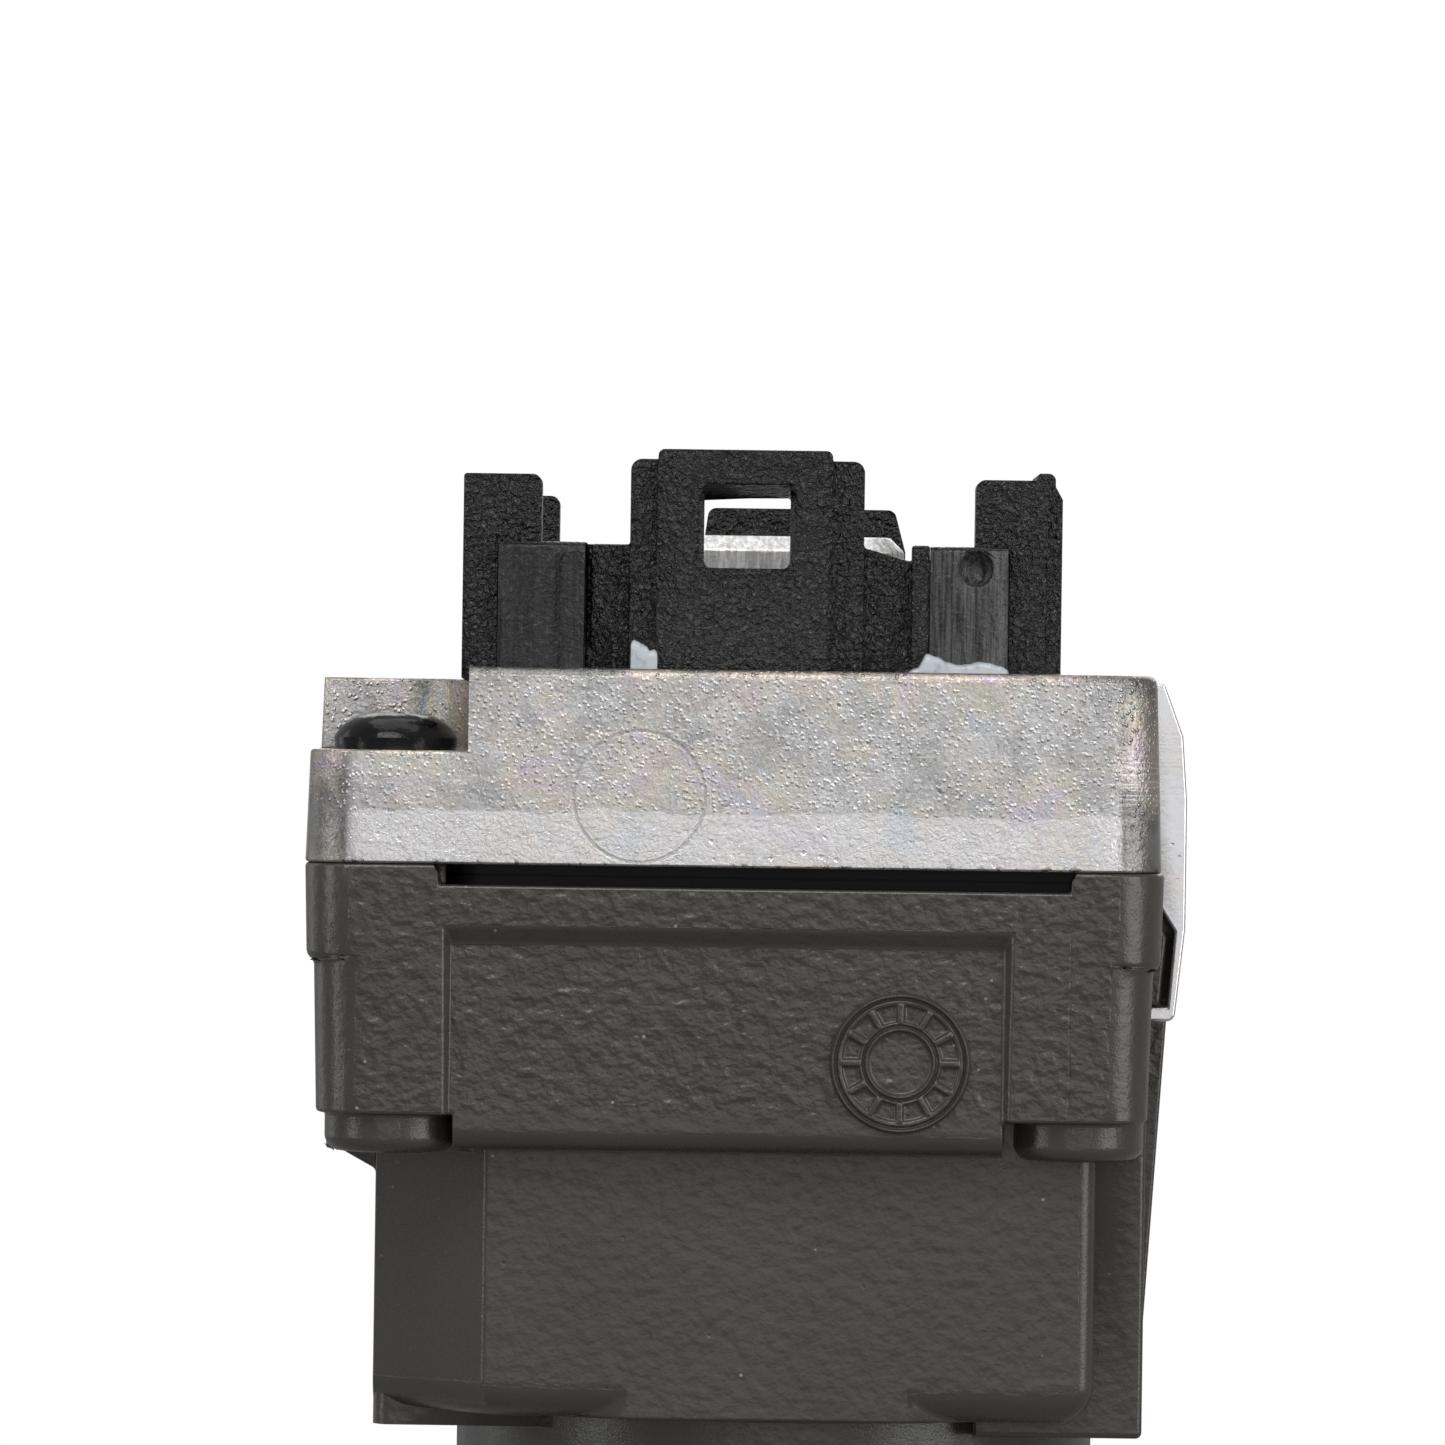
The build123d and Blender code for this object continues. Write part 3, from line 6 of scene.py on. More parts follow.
import logging
import math
from collections.abc import Sequence
from dataclasses import dataclass, field
from enum import Enum
from functools import reduce
from typing import Any, Self

import bmesh
import bpy
import numpy as np
from mathutils import Euler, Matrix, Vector


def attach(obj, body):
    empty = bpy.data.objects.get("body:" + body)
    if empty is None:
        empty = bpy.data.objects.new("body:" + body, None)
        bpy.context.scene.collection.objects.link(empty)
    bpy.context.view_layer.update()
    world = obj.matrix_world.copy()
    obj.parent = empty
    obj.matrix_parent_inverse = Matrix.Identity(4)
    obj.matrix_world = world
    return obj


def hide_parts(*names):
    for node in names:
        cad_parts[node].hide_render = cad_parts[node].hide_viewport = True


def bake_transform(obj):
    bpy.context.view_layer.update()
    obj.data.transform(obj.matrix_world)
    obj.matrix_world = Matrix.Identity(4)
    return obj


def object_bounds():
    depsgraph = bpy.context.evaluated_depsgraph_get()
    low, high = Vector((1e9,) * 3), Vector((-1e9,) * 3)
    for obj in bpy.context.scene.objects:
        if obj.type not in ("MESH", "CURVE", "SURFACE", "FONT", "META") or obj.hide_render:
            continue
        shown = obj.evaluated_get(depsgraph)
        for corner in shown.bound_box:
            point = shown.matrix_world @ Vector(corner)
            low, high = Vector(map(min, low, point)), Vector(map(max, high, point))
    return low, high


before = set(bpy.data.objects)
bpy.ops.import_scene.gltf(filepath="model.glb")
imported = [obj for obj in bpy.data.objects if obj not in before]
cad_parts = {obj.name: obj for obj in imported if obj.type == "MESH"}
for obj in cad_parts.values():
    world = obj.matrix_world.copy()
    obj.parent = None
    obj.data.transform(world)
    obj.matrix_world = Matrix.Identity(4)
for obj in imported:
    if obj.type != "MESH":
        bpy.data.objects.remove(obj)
cad_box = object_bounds()

log = logging.getLogger("electrode_holder")
Colour = tuple[float, float, float]
Vec3 = tuple[float, float, float]
Pair = tuple[float, float]
MM = 0.001
WHITE: Colour = (1.0, 1.0, 1.0)
FLAT: Pair = (0.95, 0.995)  # cosines to the nearest axis between which a face comes to count as flat
STEEP = math.radians(30.0)  # an edge that turns by more than this is sharp
LEVEL = math.radians(0.6)  # faces that turn by less than this are one flat face
TOUCHING = 0.0002 * MM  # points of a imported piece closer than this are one
DOUBLE = 0.0001 * MM  # points of a new sheet closer than this are one

# ---------------------------------------- shader maths


@dataclass(frozen=True)
class Signal:
    """A node's output, such as a value that changes over a surface; its operators add Math nodes.

    Args:
        graph: the node tree that it belongs to.
        socket: the output socket.
    """

    graph: "Graph"
    socket: Any

    def _math(self, operation: str, first: Self | float, second: Self | float = 0.0) -> Self:
        """Adds one Math node and returns its output."""
        return self.graph.node("ShaderNodeMath", {"operation": operation}, {0: first, 1: second})

    def __add__(self, other: Self | float) -> Self:
        """Self plus other."""
        return self._math("ADD", self, other)

    def __radd__(self, other: float) -> Self:
        """Other plus self."""
        return self._math("ADD", other, self)

    def __sub__(self, other: Self | float) -> Self:
        """Self minus other."""
        return self._math("SUBTRACT", self, other)

    def __rsub__(self, other: float) -> Self:
        """Other minus self."""
        return self._math("SUBTRACT", other, self)

    def __mul__(self, other: Self | float) -> Self:
        """Self times other."""
        return self._math("MULTIPLY", self, other)

    def __rmul__(self, other: float) -> Self:
        """Other times self."""
        return self._math("MULTIPLY", other, self)

    def __pow__(self, other: float) -> Self:
        """Self to the power of other."""
        return self._math("POWER", self, other)

    def most(self, other: Self) -> Self:
        """The larger of self and other."""
        return self._math("MAXIMUM", self, other)

    def sine(self) -> Self:
        """The sine of self in radians."""
        return self._math("SINE", self)

    def size(self) -> Self:
        """The size of self without its sign."""
        return self._math("ABSOLUTE", self)

    def rise(self, low: float, high: float) -> Self:
        """A smooth step.

        Args:
            low: where it is 0.
            high: where it is 1; below low, this makes the step a falling one.

        Returns:
            The step, which stays at 0 and 1 outside these places.
        """
        settings = {"interpolation_type": "SMOOTHSTEP", "clamp": True}
        ends = {1: min(low, high), 2: max(low, high), 3: 0.0, 4: 1.0}
        up = self.graph.node("ShaderNodeMapRange", settings, {0: self, **ends})
        return 1.0 - up if high < low else up

    def within(self, low: float, high: float, soft: float = 0.1 * MM) -> Self:
        """1 where self lies from low to high, with soft ends."""
        return self.rise(low - soft, low + soft) * self.rise(high + soft, high - soft)


class Graph:
    """A node tree being written."""

    def __init__(self, tree: bpy.types.NodeTree) -> None:
        """Takes a material's or a world's node tree and empties it."""
        self.tree = tree
        self.tree.nodes.clear()

    def node(
        self,
        kind: str,
        settings: dict[str, Any] | None = None,
        inputs: dict[int | str, Any] | None = None,
        output: int | str = 0,
    ) -> Signal:
        """Adds one node of any type.

        Args:
            kind: the node's type name.
            settings: attributes set first; "stops" fills a colour ramp from (place, colour) pairs.
            inputs: values or signals for the sockets, by name or number, with colours as three numbers.
            output: the output socket that is returned.

        Returns:
            The chosen output as a signal.
        """
        made = self.tree.nodes.new(kind)
        for key, value in (settings or {}).items():
            if key == "stops":
                self._fill_ramp(made.color_ramp, value)
            else:
                setattr(made, key, value)
        for key, value in (inputs or {}).items():
            socket = made.inputs[key]
            if isinstance(value, Signal):
                self.tree.links.new(value.socket, socket)
            else:
                socket.default_value = (*value, 1.0) if socket.type == "RGBA" else value
        return Signal(self, made.outputs[output] if made.outputs else None)

    @staticmethod
    def _fill_ramp(ramp: bpy.types.ColorRamp, stops: Sequence[tuple[float, Colour]]) -> None:
        """Sets a colour ramp's stops.

        Args:
            ramp: the ramp, which has two stops to begin with.
            stops: the place and colour of each stop, from low to high.
        """
        while len(ramp.elements) < len(stops):
            ramp.elements.new(0.5)
        for element, (place, colour) in zip(ramp.elements, stops):
            element.position = place
            element.color = (*colour, 1.0)

    def seen(self, *kinds: str) -> Signal:
        """1 for the given kinds of ray, such as "Is Camera Ray", and 0 for the others."""
        return reduce(Signal.most, [self.node("ShaderNodeLightPath", output=kind) for kind in kinds])

    def end(self, kind: str, share: Signal, lit: Signal, white: Signal) -> None:
        """Ends the tree in an output node of a kind: white where share is 1, and lit where it is 0."""
        mixed = self.node("ShaderNodeMixShader", inputs={0: share, 1: lit, 2: white})
        self.node(kind, inputs={"Surface": mixed})


class Recipe(Graph):
    """One material being written, with the piece's Object coordinates x, y and z in metres."""

    def __init__(self, name: str, tone: Colour) -> None:
        """Starts a material.

        Args:
            name: the material's name.
            tone: the colour that the others are laid over.
        """
        self.material = bpy.data.materials.new(name)
        self.material.use_nodes = True
        super().__init__(self.material.node_tree)
        self.place = self.node("ShaderNodeTexCoord", output="Object")
        self.x, self.y, self.z = self.split(self.place)
        self.laid: dict[str, Signal | Colour] = {"Base Color": tone}

    def split(self, vector: Signal) -> list[Signal]:
        """The X, Y and Z parts of a vector."""
        parts = self.node("ShaderNodeSeparateXYZ", inputs={0: vector}).socket.node.outputs
        return [Signal(self, part) for part in parts]

    def flatness(self) -> Signal:
        """1 on faces that look straight along an axis, falling to 0 on rounded and slanted ones."""
        sides = self.split(self.node("ShaderNodeTexCoord", output="Normal"))
        return reduce(Signal.most, [side.size() for side in sides]).rise(*FLAT)

    def stretched(self, level: float = 1.0, upright: float = 1.0) -> Signal:
        """Object coordinates scaled along X and Y and along Z; less than 1 draws a pattern out."""
        scale = (level, level, upright)
        return self.node("ShaderNodeMapping", inputs={"Vector": self.place, "Scale": scale})

    def noise(
        self,
        grain_mm: float,
        detail: float = 3.0,
        roughness: float = 0.5,
        warp: float = 0.0,
        where: Signal | None = None,
    ) -> Signal:
        """Cloudy noise.

        Args:
            grain_mm: the width of its features, in millimetres.
            detail: how many times finer features are added.
            roughness: how strong the finer features are.
            warp: how far the features are bent.
            where: the coordinates that it is read at, if not the piece's own.

        Returns:
            The noise, between 0 and 1.
        """
        spots = {"Vector": where or self.place, "Scale": 1.0 / (grain_mm * MM), "Detail": detail}
        return self.node("ShaderNodeTexNoise", inputs={**spots, "Roughness": roughness, "Distortion": warp})

    def cells(self, grain_mm: float) -> Signal:
        """Distance to the nearest of scattered points about grain_mm apart."""
        inputs = {"Vector": self.place, "Scale": 1.0 / (grain_mm * MM)}
        return self.node("ShaderNodeTexVoronoi", {"feature": "F1"}, inputs)

    def lay(self, share: Signal, colour: Signal | Colour) -> None:
        """Lays a colour over the ones before it.

        Args:
            share: how far it covers them, from 0 to 1.
            colour: the colour.
        """
        settings = {"data_type": "RGBA", "blend_type": "MIX", "clamp_factor": True}
        inputs = {0: share, 6: self.laid["Base Color"], 7: colour}
        self.laid["Base Color"] = self.node("ShaderNodeMix", settings, inputs, output=2)

    def bump(self, height: Signal, depth_mm: float, strength: float = 1.0) -> None:
        """Lays a bump over the ones before it.

        Args:
            height: the bump's height, from 0 to 1.
            depth_mm: what a height of 1 stands for, in millimetres.
            strength: how much of the bump shows.
        """
        inputs = {"Strength": strength, "Distance": depth_mm * MM, "Height": height}
        if "Normal" in self.laid:
            inputs["Normal"] = self.laid["Normal"]
        self.laid["Normal"] = self.node("ShaderNodeBump", inputs=inputs)

    def shader(self, **sockets: Any) -> Signal:
        """A Principled shader with what was laid and other sockets' values, with _ for a space in names."""
        inputs = {key.replace("_", " "): value for key, value in sockets.items()}
        return self.node("ShaderNodeBsdfPrincipled", inputs={**self.laid, **inputs})

    def apply(self, **sockets: Any) -> None:
        """Ends the tree in that one shader."""
        self.node("ShaderNodeOutputMaterial", inputs={"Surface": self.shader(**sockets)})


# ---------------------------------------- finishes


class Finish:
    """A surface finish that can make its material once and hand it out.

    Args:
        name: the material's name.
    """

    name: str = "finish"

    def make(self) -> None:
        """Writes the material."""
        raise NotImplementedError

    def material(self) -> bpy.types.Material:
        """The finish's material, written on first use.

        Returns:
            The material.
        """
        if self.name not in bpy.data.materials:
            self.make()
        return bpy.data.materials[self.name]


@dataclass(frozen=True)
class PowderCoat(Finish):
    """Dark warm-grey powder coat on a casting: wavy orange peel on its flats, smooth on its rounded parts.

    Args:
        tone, light_tone, hollow_shade_tone: the film's colour, where it lies thicker, and a painted shade
            that darkens the peel's hollows.
        dust_tone: the colour of the dust specks.
        peel_mm, peel_depth_mm: the width and the height of the peel's waves.
        drawn: the scale of the waves along X and Y, where less than 1 draws them out.
        calm: the heights between which the lower block's calmer film ends.
        seam_at, seam_span: the mould's parting line across, and its lower and upper end.
        seam_wave: how far the line wanders.
        seam_edge: the distances from the line's middle at which it ends and is full.
        pad: the plane in front of which the parting line shows.
    """

    name: str = "powder_coat"
    tone: Colour = (0.045, 0.041, 0.034)
    light_tone: Colour = (0.053, 0.048, 0.040)
    hollow_shade_tone: Colour = (0.030, 0.027, 0.022)
    dust_tone: Colour = (0.38, 0.38, 0.35)
    peel_mm: float = 0.66
    peel_depth_mm: float = 0.34
    drawn: float = 0.86
    calm: Pair = (0.0039, 0.0054)
    seam_at: float = 0.0182
    seam_span: Pair = (0.0055, 0.0152)
    seam_wave: float = 0.25 * MM
    seam_edge: Pair = (0.10 * MM, 0.02 * MM)
    pad: float = -0.0512

    def make(self) -> None:
        """Waves in two sizes drawn out sideways, painted shade in their hollows, fine grit, a few pin holes
        and pale dust specks.
        """
        r = Recipe(self.name, self.tone)
        drawn = r.stretched(level=self.drawn)
        lively = 0.4 + 0.6 * r.z.rise(*self.calm)
        edge = r.noise(1.1, 3.0, 0.6) * 0.5 + 0.72
        share = (r.flatness() * edge).rise(0.75, 0.95) * 0.85 + 0.15
        peel = r.noise(self.peel_mm, 0.8, 0.45, 0.08, where=drawn)
        ripple = r.noise(self.peel_mm * 0.4, 1.0, 0.5, 0.08, where=drawn)
        waves = ((peel - 0.5) * 0.8 + (ripple - 0.5) * 0.22) * share * lively
        grit = r.noise(0.16, 2.0, 0.6)
        holes = r.cells(2.6).rise(0.075, 0.03) * r.noise(7.0, 1.0).rise(0.52, 0.62)
        dust = r.cells(2.1).rise(0.06, 0.03) * r.noise(6.0, 0.0).rise(0.45, 0.55)
        r.lay(r.noise(9.0, 2.0).rise(0.3, 0.7), self.light_tone)
        # Painted shade: hollow_shade_tone darkens the peel's hollows, where the waves dip.
        r.lay((waves * -4.0).rise(0.1, 0.6) * 0.5, self.hollow_shade_tone)
        r.lay(dust * 0.8, self.dust_tone)
        rough = 0.22 + share * 0.10 - waves * 0.3 + grit * 0.06
        seam = (r.x + r.noise(2.0, 2.0) * self.seam_wave - self.seam_at).size().rise(*self.seam_edge)
        seam = seam * r.z.within(*self.seam_span, 1.0 * MM) * r.y.rise(self.pad, self.pad - 0.1 * MM)
        r.bump(waves, self.peel_depth_mm)
        r.bump(grit, 0.02)
        r.bump(1.0 - holes, 0.06)
        r.bump(1.0 - seam, 0.05)
        r.apply(Roughness=rough, IOR=1.6)


@dataclass(frozen=True)
class BareCasting(Finish):
    """Bare die-cast aluminium: mottled skin with raised grains, heat tints and a smoother lower band.

    Args:
        dark, light: the two greys of the skin.
        glint, shade: a painted highlight on its raised grains and a painted shade between them.
        band, hook, corner: the colour of the smooth lower band; the hook's pale bluish tone, partly a painted
            reflection of the pale room at a grazing angle; and a painted dark reflection over the rounded
            corners.
        pit, bead, chip, scratch: the colours of these small marks.
        tints: the heat tints along a ramp.
        groove: the colour of the ejector pin's ring.
        band_top, band_wave: the heights between which the band ends, and how wavy its edge is.
        foot: the heights at which the chips end and are full.
        scuff: the middle of the scratched stretch in height.
        scuff_reach: the distances from there at which the scratches end and are full.
        pin_mark, pin_radius: the ring's middle across and up, and its radius.
        pin_edge: the distances from the ring's line at which it ends and is full.
        front: the planes at which the ring ends and is full.
        hook_start: the planes between which the hook begins.
    """

    name: str = "bare_casting"
    dark: Colour = (0.46, 0.45, 0.45)
    light: Colour = (0.64, 0.63, 0.63)
    painted_glint: Colour = (0.86, 0.85, 0.84)
    shade: Colour = (0.24, 0.235, 0.235)
    band: Colour = (0.88, 0.865, 0.87)
    hook: Colour = (0.77, 0.77, 0.80)
    corner: Colour = (0.17, 0.165, 0.155)
    pit: Colour = (0.12, 0.12, 0.12)
    bead: Colour = (0.92, 0.92, 0.90)
    chip: Colour = (0.05, 0.05, 0.05)
    scratch: Colour = (0.84, 0.83, 0.82)
    tints: tuple[tuple[float, Colour], ...] = (
        (0.30, (0.50, 0.60, 0.74)),
        (0.42, (0.74, 0.70, 0.56)),
        (0.52, (0.80, 0.67, 0.56)),
        (0.62, (0.74, 0.60, 0.70)),
        (0.74, (0.54, 0.62, 0.74)),
    )
    groove: Colour = (0.22, 0.22, 0.22)
    band_top: Pair = (0.0238, 0.02395)
    band_wave: float = 1.6 * MM
    foot: Pair = (0.0202, 0.01985)
    scuff: float = 0.0262
    scuff_reach: Pair = (0.0042, 0.001)
    pin_mark: Pair = (-0.0083, 0.0240)
    pin_radius: float = 0.0040
    pin_edge: Pair = (0.16 * MM, 0.04 * MM)
    front: Pair = (-0.0508, -0.0510)
    hook_start: Pair = (0.0238, 0.0239)

    def make(self) -> None:
        """Clouds of two greys, grains with painted highlights and shade, a partly painted pale hook, painted
        dark corners, pits, slow heat tints, fine scratches along X and the pin's ring.
        """
        r = Recipe(self.name, self.dark)
        hook = r.x.rise(*self.hook_start)
        skin = (r.z + r.noise(5.0, 4.0, 0.6) * self.band_wave).rise(*self.band_top) * (1.0 - hook)
        cloud = r.noise(2.2, 5.0, 0.66, 0.6)
        grain = r.noise(0.2, 3.0, 0.62, 0.5)
        patchy = r.noise(2.6, 3.0, 0.6).rise(0.36, 0.56)
        beads = r.cells(0.36).rise(0.4, 0.12) * patchy * skin
        pits = r.cells(0.9).rise(0.2, 0.08) * r.noise(4.5, 2.0).rise(0.55, 0.68)
        r.lay(cloud.rise(0.36, 0.64), self.light)
        # Painted highlight: glint lightens the tops of the raised grains.
        r.lay(grain.rise(0.52, 0.7) * skin * 0.6, self.painted_glint)
        # Painted shade: shade darkens the skin between the grains.
        r.lay(grain.rise(0.46, 0.3) * (0.2 + 0.4 * skin), self.shade)
        r.lay((1.0 - skin) * 0.75, self.band)
        # The hook's pale bluish tone is partly bare metal and partly a painted reflection of the pale room at
        # a grazing angle.
        r.lay(hook * 0.8, self.hook)
        # Painted shade: the rounded corners are darkened to stand in for the dark room that they reflect.
        r.lay((1.0 - r.flatness()) * (1.0 - hook) * 0.92, self.corner)
        r.lay(pits * skin * 0.75, self.pit)
        r.lay(beads * 0.4, self.bead)
        tint = r.node("ShaderNodeValToRGB", {"stops": self.tints}, {0: r.noise(6.0, 3.0, 0.6, 1.4)})
        r.lay(r.noise(4.2, 2.0).rise(0.38, 0.62) * (0.28 + 0.2 * skin), tint)
        low = r.z.rise(*self.foot) * (1.0 - hook)
        chips = r.noise(0.6, 3.0, 0.7).rise(0.55, 0.62) * low
        r.lay(chips * 0.85, self.chip)
        lines = r.noise(0.12, 3.0, 0.7, where=r.stretched(level=0.03))
        scuffed = r.noise(7.0, 2.0).rise(0.46, 0.6) * (r.z - self.scuff).size().rise(*self.scuff_reach)
        r.lay(lines.rise(0.5, 0.68) * scuffed * 0.7, self.scratch)
        across, up = r.x - self.pin_mark[0], r.z - self.pin_mark[1]
        rim = ((across * across + up * up) ** 0.5 - self.pin_radius).size().rise(*self.pin_edge)
        ring = rim * r.y.rise(*self.front)
        r.lay(ring * 0.26, self.groove)
        rough = 0.19 + grain * 0.12 * skin + cloud * 0.08 + chips * 0.3
        r.bump(grain * (1.0 - hook * 0.85), 0.06, 0.9)
        r.bump(beads, 0.07)
        r.bump(r.noise(0.75, 3.0, 0.55, 0.4) * (1.0 - hook * 0.7), 0.07)
        r.bump(1.0 - pits.most(ring * 0.35), 0.05)
        r.bump(lines * scuffed, 0.012)
        r.apply(Roughness=rough, Metallic=0.88)


@dataclass(frozen=True)
class SmallCasting(Finish):
    """Bare cast block metal, drawn in upright streaks, brighter and plainer than the frame.

    Args:
        tone, light: the two greys of the streaks.
        painted_glint: a painted highlight on the raised grains.
    """

    name: str = "block_casting"
    tone: Colour = (0.50, 0.49, 0.48)
    light: Colour = (0.88, 0.87, 0.86)
    painted_glint: Colour = (0.95, 0.95, 0.95)

    def make(self) -> None:
        """Upright streaks over slow clouds, with fine grain and painted highlights on it."""
        r = Recipe(self.name, self.tone)
        streak = r.noise(0.32, 3.0, 0.6, where=r.stretched(upright=0.12))
        grain = r.noise(0.18, 3.0, 0.6)
        r.lay(streak.rise(0.35, 0.65), self.light)
        # Painted highlight: glint lightens the tops of the grains.
        r.lay(grain.rise(0.5, 0.7) * 0.35, self.painted_glint)
        r.bump(streak, 0.05)
        r.bump(grain, 0.03)
        r.apply(Roughness=0.32 + grain * 0.14, Metallic=0.8)


@dataclass(frozen=True)
class ErodedPlastic(Finish):
    """Black glass-filled plastic from a spark-eroded mould: fine wrinkled bumps, smooth drums, a rubbed face.

    Args:
        tone, worn_tone: the plastic's colour, and a lighter tone for its rubbed lines that also paints
            highlights on the bumps' tops.
        dusty_tone, drum_tone: the colours of its dusty clouds and of the drums' streaks.
        bump_mm, depth_mm: the width and the height of the bumps.
        drums, face: the left and right ends of the two smooth drums and of the rubbed face.
        drum_top, face_top: the heights between which these end.
        front: the planes between which these begin.
    """

    name: str = "eroded_plastic"
    tone: Colour = (0.006, 0.006, 0.007)
    worn_tone: Colour = (0.062, 0.060, 0.058)
    dusty_tone: Colour = (0.026, 0.025, 0.025)
    drum_tone: Colour = (0.094, 0.092, 0.090)
    bump_mm: float = 0.31
    depth_mm: float = 0.66
    drums: tuple[Pair, Pair] = ((-0.01718, -0.01178), (0.00932, 0.01412))
    drum_top: Pair = (0.0395, 0.0393)
    face: Pair = (-0.00745, 0.00325)
    face_top: Pair = (0.0365, 0.0362)
    front: Pair = (-0.0460, -0.0462)

    def make(self) -> None:
        """Two sizes of bumps with painted highlights on their tops, except on the drums, which have upright
        streaks, and lines on the face.
        """
        r = Recipe(self.name, self.tone)
        ahead = r.y.rise(*self.front)
        left, right = (r.x.within(*drum) for drum in self.drums)
        drum = (left + right) * ahead * r.z.rise(*self.drum_top)
        rubbed = r.x.within(*self.face) * ahead * r.z.rise(*self.face_top)
        bumps = r.noise(self.bump_mm, 2.0, 0.55, 0.6)
        lumps = r.noise(self.bump_mm * 2.6, 2.0, 0.5, 0.5)
        height = (bumps * 0.75 + lumps * 0.5) * (1.0 - drum * 0.8)
        streaks = r.noise(0.2, 3.0, 0.65, where=r.stretched(upright=0.05))
        lines = r.noise(0.11, 2.0, 0.6, where=r.stretched(level=0.05))
        # Painted highlight: worn_tone lightens the tops of the bumps, standing in for glints.
        r.lay(bumps.rise(0.54, 0.7) * 0.7, self.worn_tone)
        r.lay(r.noise(2.4, 3.0).rise(0.5, 0.75) * 0.4, self.dusty_tone)
        r.lay(streaks.rise(0.36, 0.62) * drum * (0.13 + 0.8 * right), self.drum_tone)
        r.lay(lines.rise(0.5, 0.66) * rubbed * 0.45, self.worn_tone)
        rough = 0.14 + 0.12 * lumps + drum * 0.16
        r.bump(height, self.depth_mm)
        r.bump(streaks * drum, 0.035)
        r.bump(lines * rubbed, 0.03)
        r.apply(Roughness=rough)


@dataclass(frozen=True)
class SealRubber(Finish):
    """Smooth black moulded rubber.

    Args:
        tone, dust_tone: the colours of the rubber and of the fine dust on it.
    """

    name: str = "seal_rubber"
    tone: Colour = (0.002, 0.002, 0.003)
    dust_tone: Colour = (0.03, 0.03, 0.034)

    def make(self) -> None:
        """Soft sheen with fine dust and slow waves."""
        r = Recipe(self.name, self.tone)
        grit = r.noise(0.15, 2.0)
        r.lay(grit.rise(0.62, 0.78) * 0.4, self.dust_tone)
        r.bump(r.noise(2.5, 2.0), 0.04)
        r.apply(Roughness=0.26 + grit * 0.12, Specular_IOR_Level=0.12)


@dataclass(frozen=True)
class OxideSteel(Finish):
    """Black-oxide steel, worn towards grey at random and lightly oiled.

    Args:
        tone, worn_tone: the film's colour, and where it is thin.
        gloss: the least roughness.
    """

    name: str = "oxide_steel"
    tone: Colour = (0.02, 0.02, 0.022)
    worn_tone: Colour = (0.11, 0.108, 0.105)
    gloss: float = 0.3

    def make(self) -> None:
        """Dark film over steel with thin worn clouds and fine turning lines."""
        r = Recipe(self.name, self.tone)
        worn = r.noise(2.2, 4.0, 0.65).rise(0.58, 0.76)
        lines = r.noise(0.09, 1.0, where=r.stretched(level=0.04))
        r.lay(worn * 0.6, self.worn_tone)
        rough = self.gloss + lines * 0.08 + worn * 0.08
        r.bump(lines, 0.006)
        r.apply(Roughness=rough, Metallic=0.7)


@dataclass(frozen=True)
class BlackLacquer(Finish):
    """Glossy black film on a screw head, with soft waves.

    Args:
        tone, worn_tone: the film's colour, and where it is worn.
    """

    name: str = "black_lacquer"
    tone: Colour = (0.004, 0.004, 0.004)
    worn_tone: Colour = (0.04, 0.038, 0.036)

    def make(self) -> None:
        """A smooth film with slow waves, dust in fine spots and faint wear."""
        r = Recipe(self.name, self.tone)
        worn = r.noise(0.5, 4.0, 0.65).rise(0.6, 0.75)
        r.lay(worn * 0.5, self.worn_tone)
        r.bump(r.noise(1.3, 3.0, 0.5, 0.3), 0.09)
        r.apply(Roughness=0.15 + worn * 0.14, Specular_IOR_Level=0.32)


@dataclass(frozen=True)
class TurnedMetal(Finish):
    """Turned or ground metal with fine tool lines around the axis.

    Args:
        tone, dull: the colours of the bright metal and of its stains.
        gloss: the least roughness.
    """

    name: str = "turned_steel"
    tone: Colour = (0.56, 0.56, 0.56)
    dull: Colour = (0.42, 0.42, 0.43)
    gloss: float = 0.22

    def make(self) -> None:
        """Thin rings by noise stretched across Z, with faint stains."""
        r = Recipe(self.name, self.tone)
        rings = r.noise(0.07, 2.0, 0.6, where=r.stretched(level=0.02))
        stain = r.noise(3.0, 4.0, 0.6)
        r.lay(stain.rise(0.4, 0.7), self.dull)
        rough = self.gloss + rings * 0.12 + stain * 0.06
        r.bump(rings, 0.005)
        r.apply(Roughness=rough, Metallic=1.0)


@dataclass(frozen=True)
class Laminate(Finish):
    """Brown glass-cloth laminate with a faint weave.

    Args:
        resin, cloth, stain: the colours between the threads, over them and of the darker clouds.
        weave_mm: the length of one wave of the weave.
    """

    name: str = "glass_laminate"
    resin: Colour = (0.36, 0.2, 0.08)
    cloth: Colour = (0.46, 0.28, 0.12)
    stain: Colour = (0.3, 0.16, 0.06)
    weave_mm: float = 0.5

    def make(self) -> None:
        """A weave of two crossed waves under resin."""
        r = Recipe(self.name, self.resin)
        step = 2.0 * math.pi / (self.weave_mm * MM)
        weave = (r.x * step).sine() * (r.y * step).sine()
        r.lay(weave.rise(-0.5, 0.5), self.cloth)
        r.lay(r.noise(2.0, 3.0).rise(0.4, 0.7) * 0.4, self.stain)
        r.bump(weave, 0.01)
        r.apply(Roughness=0.38)


